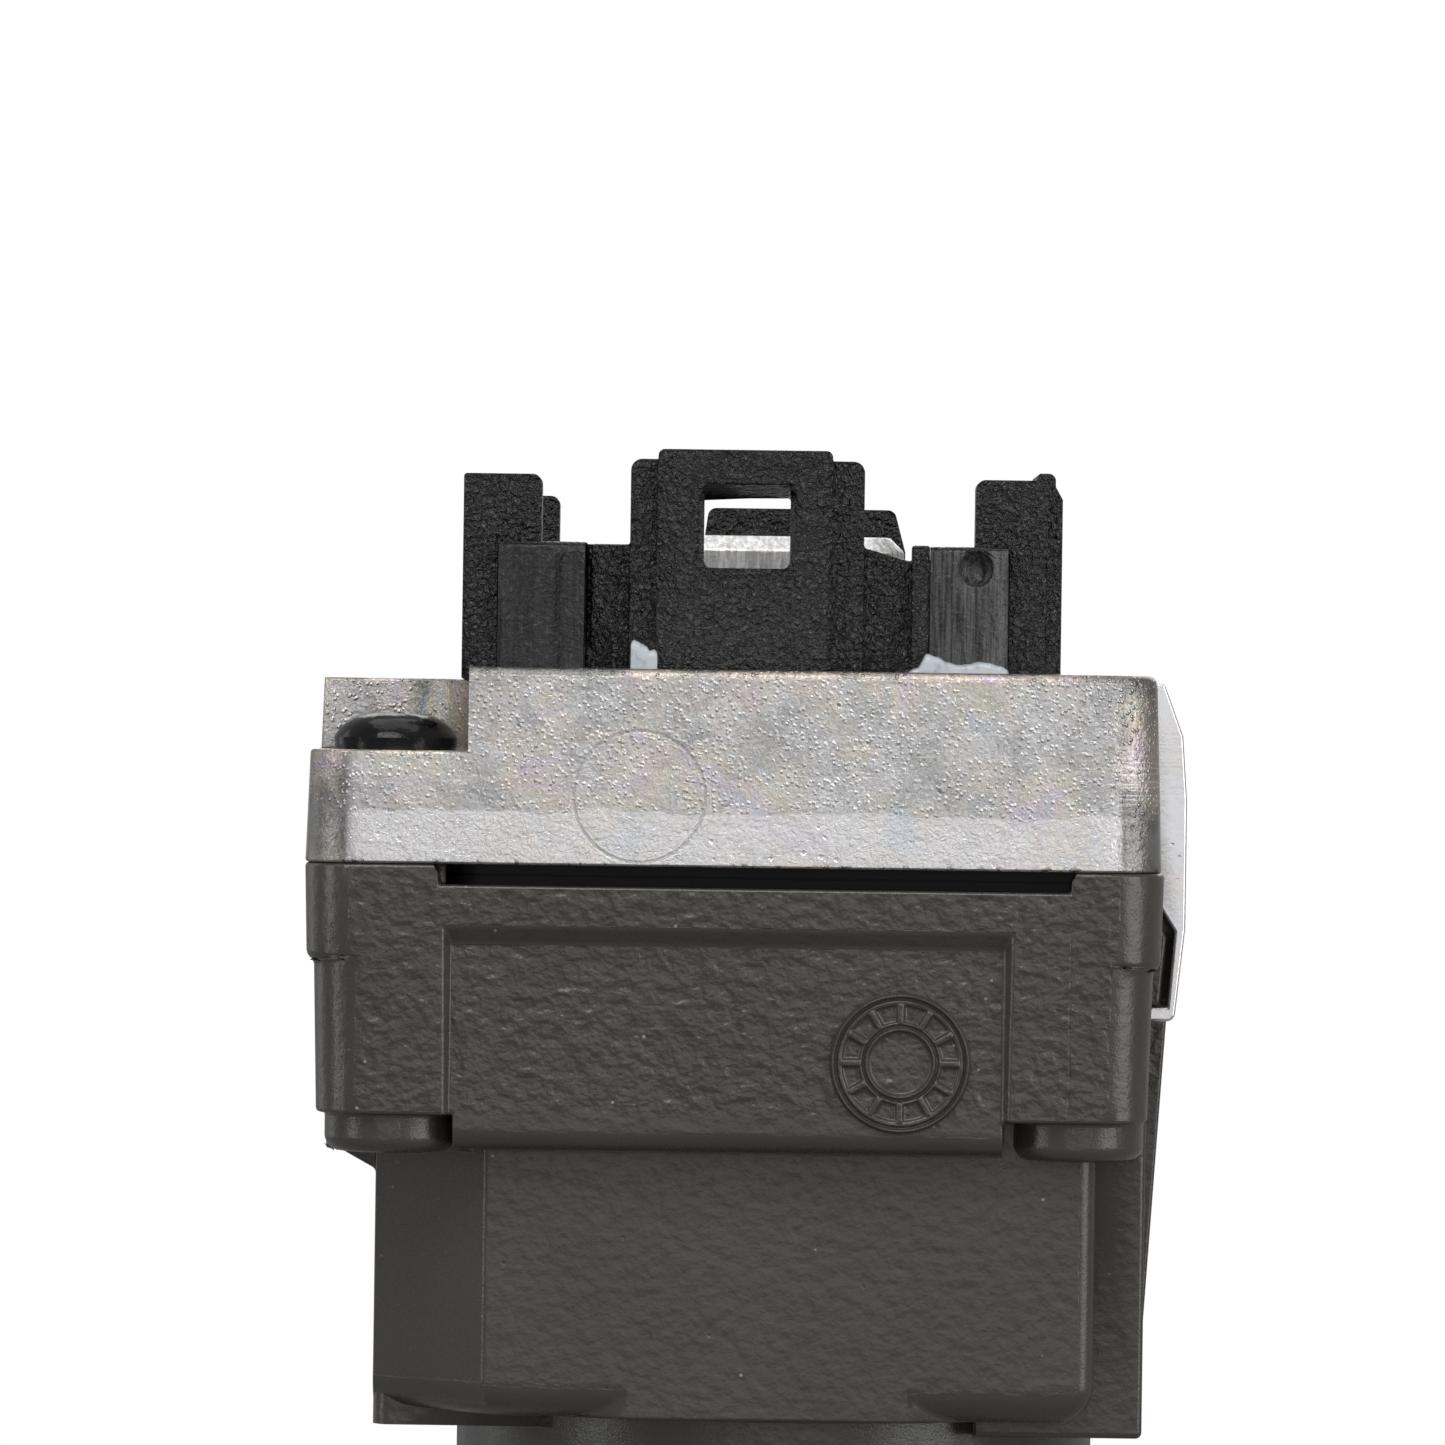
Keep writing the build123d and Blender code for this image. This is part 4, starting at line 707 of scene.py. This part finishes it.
@dataclass(frozen=True)
class Compound(Finish):
    """White sealing compound, glossy and slightly dirty.

    Args:
        tone, smear_tone: the colours of the clean compound and of its smears.
    """

    name: str = "white_compound"
    tone: Colour = (0.55, 0.59, 0.64)
    smear_tone: Colour = (0.30, 0.36, 0.45)

    def make(self) -> None:
        """Off-white with grey smears."""
        r = Recipe(self.name, self.tone)
        smear = r.noise(0.9, 4.0, 0.6, 0.8)
        r.lay(smear.rise(0.48, 0.76), self.smear_tone)
        r.bump(smear, 0.10)
        r.apply(Roughness=0.24, Coat_Weight=0.3)


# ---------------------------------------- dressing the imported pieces


class Coat(Enum):
    """The finishes that pieces wear."""

    PAINT = PowderCoat()
    CASTING = BareCasting()
    PLASTIC = ErodedPlastic()
    RUBBER = SealRubber()
    OXIDE = OxideSteel()
    STEEL = TurnedMetal()
    BRONZE = TurnedMetal("turned_bronze", tone=(0.62, 0.42, 0.2), dull=(0.45, 0.29, 0.13), gloss=0.28)
    COPPER = TurnedMetal("turned_copper", tone=(0.72, 0.4, 0.25), dull=(0.5, 0.27, 0.17), gloss=0.25)
    BLOCK = SmallCasting()
    LACQUER = BlackLacquer()
    LAMINATE = Laminate()
    COMPOUND = Compound()


@dataclass
class Wardrobe:
    """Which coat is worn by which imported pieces, where it isn't turned steel."""

    worn: dict[Coat, tuple[str, ...]] = field(
        default_factory=lambda: {
            Coat.PAINT: ("body_housing",),
            Coat.RUBBER: ("body_gasket", "wiper"),
            Coat.CASTING: ("top_frame",),
            Coat.LACQUER: ("frame_screws",),
            Coat.PLASTIC: ("guide_cage",),
            Coat.COMPOUND: ("sealing_bead",),
            Coat.BLOCK: ("contact_block",),
            Coat.COPPER: ("contact_rod", "contact_ring"),
            Coat.LAMINATE: ("insulator",),
            Coat.BRONZE: ("upper_bush", "lower_bush"),
            Coat.OXIDE: ("chuck_body", "clamp_nut"),
        }
    )

    def dress(self) -> None:
        """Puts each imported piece's finish on its material slots."""
        coats = {name: coat for coat, names in self.worn.items() for name in names}
        for name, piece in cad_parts.items():
            material = coats.get(name, Coat.STEEL).value.material()
            if not piece.material_slots:
                piece.data.materials.append(material)
            for slot in piece.material_slots:
                slot.material = material
            log.info("dressed %s in %s", name, material.name)


# ---------------------------------------- pieces made here


def add_piece(
    name: str,
    mesh: bpy.types.Mesh,
    coat: Coat,
    nodes: Sequence[str] = (),
    rigid: bool = True,
) -> bpy.types.Object:
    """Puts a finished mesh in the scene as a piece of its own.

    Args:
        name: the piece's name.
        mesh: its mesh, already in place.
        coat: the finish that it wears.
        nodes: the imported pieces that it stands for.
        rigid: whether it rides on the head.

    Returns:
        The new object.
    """
    piece = bpy.data.objects.new(name, mesh)
    bpy.context.scene.collection.objects.link(piece)
    mesh.materials.clear()
    mesh.materials.append(coat.value.material())
    if rigid:
        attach(piece, "head")
    if nodes:
        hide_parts(*nodes)
    log.info("built %s with %d faces in %s", name, len(mesh.polygons), coat.value.name)
    return piece


def merged_copy(node: str) -> bmesh.types.BMesh:
    """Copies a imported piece's mesh, with its loose triangles joined and its flat faces made whole.

    Args:
        node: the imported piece's name.

    Returns:
        The copy, still to be made a mesh.
    """
    shape = bmesh.new()
    shape.from_mesh(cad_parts[node].data)
    bmesh.ops.remove_doubles(shape, verts=shape.verts, dist=TOUCHING)
    bmesh.ops.dissolve_limit(shape, angle_limit=LEVEL, verts=shape.verts, edges=shape.edges)
    return shape


def keep_shape(shape: bmesh.types.BMesh, mesh: bpy.types.Mesh) -> None:
    """Writes an edited shape into a mesh and frees the shape."""
    shape.to_mesh(mesh)
    shape.free()


def round_sheet(name: str, points: np.ndarray) -> bpy.types.Mesh:
    """A mesh from a grid of points whose last column joins the first: each cell becomes one four-sided face.

    Args:
        name: the mesh's name.
        points: rows by columns by 3 coordinates.

    Returns:
        The mesh, with its doubles merged and its faces outward.
    """
    rows, columns = points.shape[:2]
    index = np.arange(rows * columns).reshape(rows, columns)
    index = np.hstack([index, index[:, :1]])
    corners = (index[:-1, :-1], index[1:, :-1], index[1:, 1:], index[:-1, 1:])
    faces = np.stack([corner.ravel() for corner in corners], axis=1)
    mesh = bpy.data.meshes.new(name)
    mesh.from_pydata(points.reshape(-1, 3).tolist(), [], faces.tolist())
    shape = bmesh.new()
    shape.from_mesh(mesh)
    bmesh.ops.remove_doubles(shape, verts=shape.verts, dist=DOUBLE)
    bmesh.ops.recalc_face_normals(shape, faces=shape.faces)
    keep_shape(shape, mesh)
    mesh.shade_smooth()
    return mesh


@dataclass
class BrokenEdges:
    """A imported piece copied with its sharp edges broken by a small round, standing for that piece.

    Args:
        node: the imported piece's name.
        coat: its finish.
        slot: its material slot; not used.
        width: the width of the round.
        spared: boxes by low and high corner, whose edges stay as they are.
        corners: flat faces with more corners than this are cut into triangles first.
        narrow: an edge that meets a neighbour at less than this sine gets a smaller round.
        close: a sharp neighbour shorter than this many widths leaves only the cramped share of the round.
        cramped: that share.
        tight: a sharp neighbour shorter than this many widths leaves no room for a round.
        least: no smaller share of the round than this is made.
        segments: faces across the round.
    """

    node: str
    coat: Coat
    slot: str
    width: float
    spared: tuple[tuple[Vec3, Vec3], ...] = ()
    corners: int = 400
    narrow: float = 0.7
    close: float = 1.6
    cramped: float = 0.5
    tight: float = 0.6
    least: float = 0.25
    segments: int = 2

    def build(self) -> None:
        """Merges a copy of the piece, weighs its edges and adds the round."""
        name = f"{self.node}_finished"
        shape = merged_copy(self.node)
        many = [face for face in shape.faces if len(face.verts) > self.corners]
        bmesh.ops.triangulate(shape, faces=many)
        self._weigh(shape)
        mesh = bpy.data.meshes.new(name)
        keep_shape(shape, mesh)
        mesh.shade_smooth()
        piece = add_piece(name, mesh, self.coat, [self.node])
        breaking = piece.modifiers.new("broken_edges", "BEVEL")
        breaking.width = self.width
        breaking.segments = self.segments
        breaking.limit_method = "WEIGHT"
        breaking.use_clamp_overlap = False
        evening = piece.modifiers.new("even_shading", "WEIGHTED_NORMAL")
        evening.keep_sharp = True

    def _weigh(self, shape: bmesh.types.BMesh) -> None:
        """Gives each sharp edge a share of the round: all of it, or less where a neighbour is close.

        Args:
            shape: the merged copy.
        """
        layer = shape.edges.layers.float.new("bevel_weight_edge")
        shape.edges.ensure_lookup_table()
        sharp = {edge.index for edge in shape.edges if edge.is_manifold and edge.calc_face_angle(0.0) > STEEP}
        for number in sharp:
            edge = shape.edges[number]
            share = min([1.0, *(self._room(edge, end, sharp) for end in edge.verts)])
            share = share if share > self.least and not self._is_spared(edge) else 0.0
            edge[layer] = share
            edge.smooth = share > 0.0

    def _is_spared(self, edge: bmesh.types.BMEdge) -> bool:
        """Whether either end of the edge lies in one of the spared boxes."""
        ends = np.array([end.co for end in edge.verts])
        return any(((ends >= low) & (ends <= high)).all(axis=1).any() for low, high in self.spared)

    def _room(self, edge: bmesh.types.BMEdge, end: bmesh.types.BMVert, sharp: set[int]) -> float:
        """The share of the round that fits at one end of an edge, from its neighbours' angles and lengths.

        Args:
            edge: the edge.
            end: its end.
            sharp: the numbers of all sharp edges.

        Returns:
            The share, from 0 to 1.
        """
        along = (edge.other_vert(end).co - end.co).normalized()
        share = 1.0
        for other in (other for face in edge.link_faces for other in face.edges):
            if other is edge or end not in other.verts:
                continue
            cosine = along.dot((other.other_vert(end).co - end.co).normalized())
            if cosine > 0.0:
                share = min(share, math.sqrt(max(0.0, 1.0 - cosine * cosine)) / self.narrow)
            length = other.calc_length()
            if other.index in sharp and length < self.close * self.width:
                share = min(share, 0.0 if length < self.tight * self.width else self.cramped)
        return share


@dataclass
class DateDial:
    """The round twelve-cell dial cast on the marking panel, with a bare middle.

    Args:
        middle: the dial's middle across and up.
        panel: the plane of the panel.
        radius, hub: the radii of the outer lip and of the inner ring.
        cells: the inner and outer radius of the ring of cells.
        border: how far the raised ring reaches past the cells inward and outward.
        inset: how far the inner lip lies inside the outer one.
        ridges: the widths of the outer lip, the inner lip and the inner ring.
        shares: the heights of the raised ring, the inner lip and the inner ring as shares of the rise.
        count: how many cells there are.
        spoke: half the width of a spoke.
        rise: how far lips and spokes stand up.
        film: how far the disc itself stands over the panel.
        sunk: how far the dial's foot lies under the panel.
        fall, skirt: how far outside the lip the disc falls to its foot, and where the foot ends.
        soft: how softly the film of paint rounds each step.
        grid: how many rings of points there are, and points in a ring.
    """

    middle: Pair = (0.00781, 0.00798)
    panel: float = -0.051
    radius: float = 0.00412
    hub: float = 0.00206
    cells: Pair = (0.00250, 0.00356)
    border: Pair = (0.00016, 0.00012)
    inset: float = 0.00036
    ridges: Vec3 = (0.00013, 0.00012, 0.00014)
    shares: Vec3 = (0.85, 0.7, 0.9)
    count: int = 12
    spoke: float = 0.00022
    rise: float = 0.00034
    film: float = 0.00003
    sunk: float = 0.00020
    fall: float = 0.00026
    skirt: float = 0.00034
    soft: float = 0.00008
    grid: tuple[int, int] = (96, 360)

    def build(self) -> None:
        """Makes the dial and puts it on the head."""
        add_piece("date_dial", round_sheet("date_dial", self._points()), Coat.PAINT)

    def _step(self, inside: np.ndarray) -> np.ndarray:
        """A soft step from 0 to 1 where a distance turns positive."""
        return 0.5 + 0.5 * np.tanh(inside / self.soft)

    def _height(self, radius: np.ndarray, turn: np.ndarray) -> np.ndarray:
        """Height over the panel as a function of radius and angle.

        The dial's disc is low. Two lips, an inner ring and the ring of cells stand on it. Each cell is a
        hollow between two radii and between two spokes, whose distance is the radius times the sine of the
        angle to the nearest spoke. A lip is e to the power of minus the square of its distance in widths.

        Args:
            radius: distances from the middle.
            turn: angles round the middle.

        Returns:
            The height at each point.
        """
        near = np.abs((turn * self.count / (2.0 * np.pi)) % 1.0 - 0.5) - 0.5
        to_spoke = radius * np.abs(np.sin(near * 2.0 * np.pi / self.count)) - self.spoke
        within = np.minimum(radius - self.cells[0], self.cells[1] - radius)
        hollow = self._step(np.minimum(within, to_spoke))
        plateau = self._step(radius - self.cells[0] + self.border[0])
        plateau = plateau * self._step(self.cells[1] + self.border[1] - radius)
        outside = (radius - self.radius, radius - self.radius + self.inset, radius - self.hub)
        lip, inner_lip, ring = (np.exp(-((gap / wide) ** 2)) for gap, wide in zip(outside, self.ridges))
        low = 1.0 - plateau
        raised = self.shares[0] * plateau * (1.0 - hollow) + lip
        raised = raised + self.shares[1] * inner_lip * low + self.shares[2] * ring * low
        return self.film + self.rise * np.clip(raised, 0.0, 1.0)

    def _points(self) -> np.ndarray:
        """Rings of points from the middle to the rim and then back to the middle behind the panel's face.

        Returns:
            The grid of points.
        """
        out = np.linspace(0.0, self.radius + self.skirt, self.grid[0])
        turn = np.linspace(0.0, 2.0 * np.pi, self.grid[1], endpoint=False)
        radius, angle = np.meshgrid(out, turn, indexing="ij")
        fall = self._step(self.radius + self.fall - radius)
        height = self._height(radius, angle) * fall - self.sunk * (1.0 - fall)
        x, z = self.middle[0] + radius * np.sin(angle), self.middle[1] + radius * np.cos(angle)
        face = np.stack([x, self.panel - height, z], axis=-1)
        back = face[-1:].copy()
        back[..., 1] = self.panel + self.sunk
        pole = np.broadcast_to([self.middle[0], self.panel + self.sunk, self.middle[1]], back.shape)
        return np.concatenate([face, back, pole], axis=0)


@dataclass
class CompoundBead:
    """A lump of white compound pressed in front of the cage's foot.

    Args:
        name: the piece's name.
        ends: where it starts and ends across.
        depth: its front and its back.
        foot: the height that it starts from.
        profile: heights of its top over the foot at even steps from its left to its right end.
        nodes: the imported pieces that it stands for.
        square: the power that squares its loops; 1 leaves them round.
        blunt: the power that keeps it full up to its ends.
        grid: how many loops of points there are, and points in a loop.
    """

    name: str
    ends: Pair
    depth: Pair
    foot: float
    profile: tuple[float, ...]
    nodes: tuple[str, ...] = ()
    square: float = 0.55
    blunt: int = 40
    grid: tuple[int, int] = (96, 40)

    def build(self) -> None:
        """Makes the bead and puts it on the head."""
        add_piece(self.name, round_sheet(self.name, self._points()), Coat.COMPOUND, self.nodes)

    def _squared(self, wave: np.ndarray) -> np.ndarray:
        """A wave raised to the squaring power, with its sign kept."""
        return np.sign(wave) * np.abs(wave) ** self.square

    def _points(self) -> np.ndarray:
        """A soft-cornered loop carried along X.

        The loop is a circle whose sine and cosine are raised to a power under one, stretched to the bead's
        depth and to the profile's height at that place. The height follows the profile by cosine steps, and
        the loop shrinks to a point at both ends.

        Returns:
            The grid of points.
        """
        along = 0.5 - 0.5 * np.cos(np.pi * np.linspace(0.0, 1.0, self.grid[0]))
        steps = np.asarray(self.profile)
        place = along * (len(steps) - 1)
        left = np.minimum(place.astype(int), len(steps) - 2)
        share = 0.5 - 0.5 * np.cos(np.pi * (place - left))
        top = steps[left] * (1.0 - share) + steps[left + 1] * share
        swell = np.clip(1.0 - np.abs(2.0 * along - 1.0) ** self.blunt, 0.0, 1.0) ** 0.5
        turn = np.linspace(0.0, 2.0 * np.pi, self.grid[1], endpoint=False)
        middle = 0.5 * (self.depth[0] + self.depth[1])
        half = 0.5 * (self.depth[1] - self.depth[0])
        x = self.ends[0] + (self.ends[1] - self.ends[0]) * along
        y = middle + half * swell[:, None] * self._squared(np.cos(turn))[None, :]
        z = self.foot + 0.5 * top[:, None] * (1.0 + swell[:, None] * self._squared(np.sin(turn))[None, :])
        return np.stack([np.broadcast_to(x[:, None], y.shape), y, z], axis=-1)


@dataclass
class SpringCoil:
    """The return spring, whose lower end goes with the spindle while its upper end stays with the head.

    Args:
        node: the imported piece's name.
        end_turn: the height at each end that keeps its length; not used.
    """

    node: str = "return_spring"
    end_turn: float = 1.2 * MM

    def build(self) -> None:
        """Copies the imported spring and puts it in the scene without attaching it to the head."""
        shape = merged_copy(self.node)
        for edge in shape.edges:
            edge.smooth = edge.calc_face_angle(0.0) < STEEP
        mesh = bpy.data.meshes.new("spring_coil")
        keep_shape(shape, mesh)
        places = np.empty(3 * len(mesh.vertices))
        mesh.vertices.foreach_get("co", places)
        piece = add_piece("spring_coil", mesh, Coat.STEEL, [self.node], rigid=False)
        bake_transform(piece)


@dataclass
class Head:
    """The pieces of the head that are made or finished here."""

    castings: tuple[BrokenEdges, ...] = (
        BrokenEdges(
            "body_housing",
            Coat.PAINT,
            "paint",
            width=0.24 * MM,
            spared=(
                ((-0.0260, -0.0480, -0.0165), (-0.0150, -0.0300, -0.0122)),
                ((-0.0280, -0.0012, 0.0175), (-0.0240, 0.0010, 0.0202)),
            ),
        ),
        BrokenEdges("top_frame", Coat.CASTING, "casting", width=0.20 * MM, corners=40),
        BrokenEdges("guide_cage", Coat.PLASTIC, "cage_plastic", width=0.15 * MM),
        BrokenEdges("contact_block", Coat.BLOCK, "block_metal", width=0.15 * MM),
    )
    dial: DateDial = field(default_factory=DateDial)
    spring: SpringCoil = field(default_factory=SpringCoil)
    beads: tuple[CompoundBead, ...] = (
        CompoundBead(
            "left_bead",
            ends=(-0.00902, -0.00732),
            depth=(-0.0490, -0.0474),
            foot=0.0313,
            profile=(0.00215, 0.00228, 0.00218, 0.00205, 0.00192, 0.00165, 0.00172, 0.00155),
            nodes=("sealing_bead",),
        ),
        CompoundBead(
            "right_bead",
            ends=(0.0079, 0.0142),
            depth=(-0.0490, -0.0470),
            foot=0.0313,
            profile=(
                0.00055, 0.0008, 0.00168, 0.0015, 0.00118, 0.00102, 0.00108, 0.00124, 0.00118, 0.0010, 0.0008
            ),
        ),
    )

    def build(self) -> None:
        """Builds every piece in order."""
        for piece in (*self.castings, self.dial, self.spring, *self.beads):
            piece.build()


# ---------------------------------------- stage, lamps and camera


def facing(place: Vector, target: Vector) -> Euler:
    """The turn that points a lamp or the camera from its place at a target."""
    return (target - place).to_track_quat("-Z", "Y").to_euler()


@dataclass
class Studio:
    """The pale floor, the lamps and the camera.

    Args:
        reach: distance from the front of the head to the camera.
        eye: the camera's place across and up.
        aim: the point of the front plane at the middle of the view.
        width: the width of the view at the front plane.
        roll: how far the camera leans, in degrees.
        film: the width of the camera's film, in millimetres.
        clip: the nearest and farthest distance that the camera sees.
        front: the plane of the head's front.
        paper: the radius of the floor's paper.
        rim: how many corners the paper has.
        gap: how far the paper lies under the head.
        fade: the shares of the radius between which the paper turns white.
        paper_tone: the paper's grey as it is seen.
        paper_glow: the paper's grey for the light that it throws back up.
        room_tone: the colour of the even light from all around.
        room_light: the strength of that light.
        room_gloss: the share of the white room that shows in reflections.
        boxes_aim: the point that the soft boxes face.
        boxes: name, place, size and radiance of each soft box.
    """

    reach: float = 0.490
    eye: Pair = (-0.0024, 0.0296)
    aim: Pair = (-0.00330, 0.02860)
    width: float = 0.08784
    roll: float = 0.8
    film: float = 36.0
    clip: Pair = (0.05, 20.0)
    front: float = -0.052
    paper: float = 0.44
    rim: int = 96
    gap: float = 0.3 * MM
    fade: Pair = (0.25, 0.9)
    paper_tone: float = 0.93
    paper_glow: float = 0.35
    room_tone: Colour = (0.95, 0.97, 1.0)
    room_light: float = 0.12
    room_gloss: float = 0.22
    boxes_aim: Vec3 = (0.0, -0.03, 0.01)
    boxes: tuple[tuple[str, Vec3, Pair, float], ...] = (
        ("high_box", (-0.14, -0.62, 0.78), (0.7, 0.45), 4.2),
        ("front_box", (0.05, -1.30, 0.22), (1.0, 0.8), 0.66),
        ("left_strip", (-0.64, -0.31, 0.10), (0.12, 0.9), 3.3),
        ("left_box", (-0.62, 0.32, 0.10), (0.25, 0.8), 0.7),
        ("right_box", (0.62, -0.46, 0.10), (0.45, 0.9), 2.5),
        ("top_box", (0.0, 0.1, 0.75), (0.6, 0.6), 1.0),
        ("back_box", (0.1, 0.8, 0.4), (0.7, 0.5), 1.6),
    )

    def build(self) -> None:
        """Makes floor, world, lamps and camera."""
        self._floor()
        self._world()
        self._lamps()
        self._camera()

    def _floor(self) -> None:
        """A round sheet of pale paper just under the head, which turns white towards its rim."""
        low = float(cad_box[0][2]) - self.gap
        turn = np.linspace(0.0, 2.0 * np.pi, self.rim, endpoint=False)
        rim = np.stack([self.paper * np.cos(turn), self.paper * np.sin(turn), np.full(self.rim, low)], axis=1)
        mesh = bpy.data.meshes.new("floor")
        mesh.from_pydata(rim.tolist(), [], [tuple(range(self.rim))])
        floor = bpy.data.objects.new("floor", mesh)
        bpy.context.scene.collection.objects.link(floor)
        r = Recipe("floor_paper", (self.paper_glow,) * 3)
        seen = r.seen("Is Camera Ray")
        r.lay(seen, (self.paper_tone,) * 3)
        far = (r.x**2.0 + r.y**2.0) ** 0.5
        share = far.rise(self.fade[0] * self.paper, self.fade[1] * self.paper) * seen
        white = r.node("ShaderNodeEmission", inputs={"Color": WHITE, "Strength": 1.0})
        r.end("ShaderNodeOutputMaterial", share, r.shader(Roughness=0.9), white)
        mesh.materials.append(r.material)

    def _world(self) -> None:
        """An even grey room that shows as white behind the head."""
        world = bpy.data.worlds.new("room")
        bpy.context.scene.world = world
        world.use_nodes = True
        room = Graph(world.node_tree)
        lit = room.node("ShaderNodeBackground", inputs={"Color": self.room_tone, "Strength": self.room_light})
        white = room.node("ShaderNodeBackground", inputs={"Color": WHITE, "Strength": 1.0})
        seen = room.seen("Is Camera Ray", "Is Transmission Ray")
        share = (room.seen("Is Glossy Ray") * self.room_gloss).most(seen)
        room.end("ShaderNodeOutputWorld", share, lit, white)

    def _lamps(self) -> None:
        """Soft boxes, each with its place, size and radiance."""
        for name, place, (wide, high), radiance in self.boxes:
            lamp = bpy.data.lights.new(name, "AREA")
            lamp.shape = "RECTANGLE"
            lamp.size, lamp.size_y = wide, high
            lamp.energy = radiance * math.pi * wide * high
            holder = bpy.data.objects.new(name, lamp)
            holder.location = place
            holder.rotation_euler = facing(Vector(place), Vector(self.boxes_aim))
            bpy.context.scene.collection.objects.link(holder)

    def _camera(self) -> None:
        """A level, distant camera in front of the head."""
        lens = bpy.data.cameras.new("camera")
        lens.sensor_width = self.film
        lens.lens = self.film * self.reach / self.width
        lens.clip_start, lens.clip_end = self.clip
        camera = bpy.data.objects.new("camera", lens)
        camera.location = (self.eye[0], self.front - self.reach, self.eye[1])
        camera.rotation_euler = facing(camera.location, Vector((self.aim[0], self.front, self.aim[1])))
        camera.rotation_euler.rotate_axis("Z", math.radians(self.roll))
        bpy.context.scene.collection.objects.link(camera)
        bpy.context.scene.camera = camera


# ---------------------------------------- putting it together


def main() -> None:
    """Builds every class in order and reports each piece."""
    logging.basicConfig(level=logging.INFO, format="%(name)s: %(message)s")
    bpy.context.scene.view_settings.view_transform = "Standard"
    Wardrobe().dress()
    Head().build()
    Studio().build()


if __name__ == "__main__":
    main()
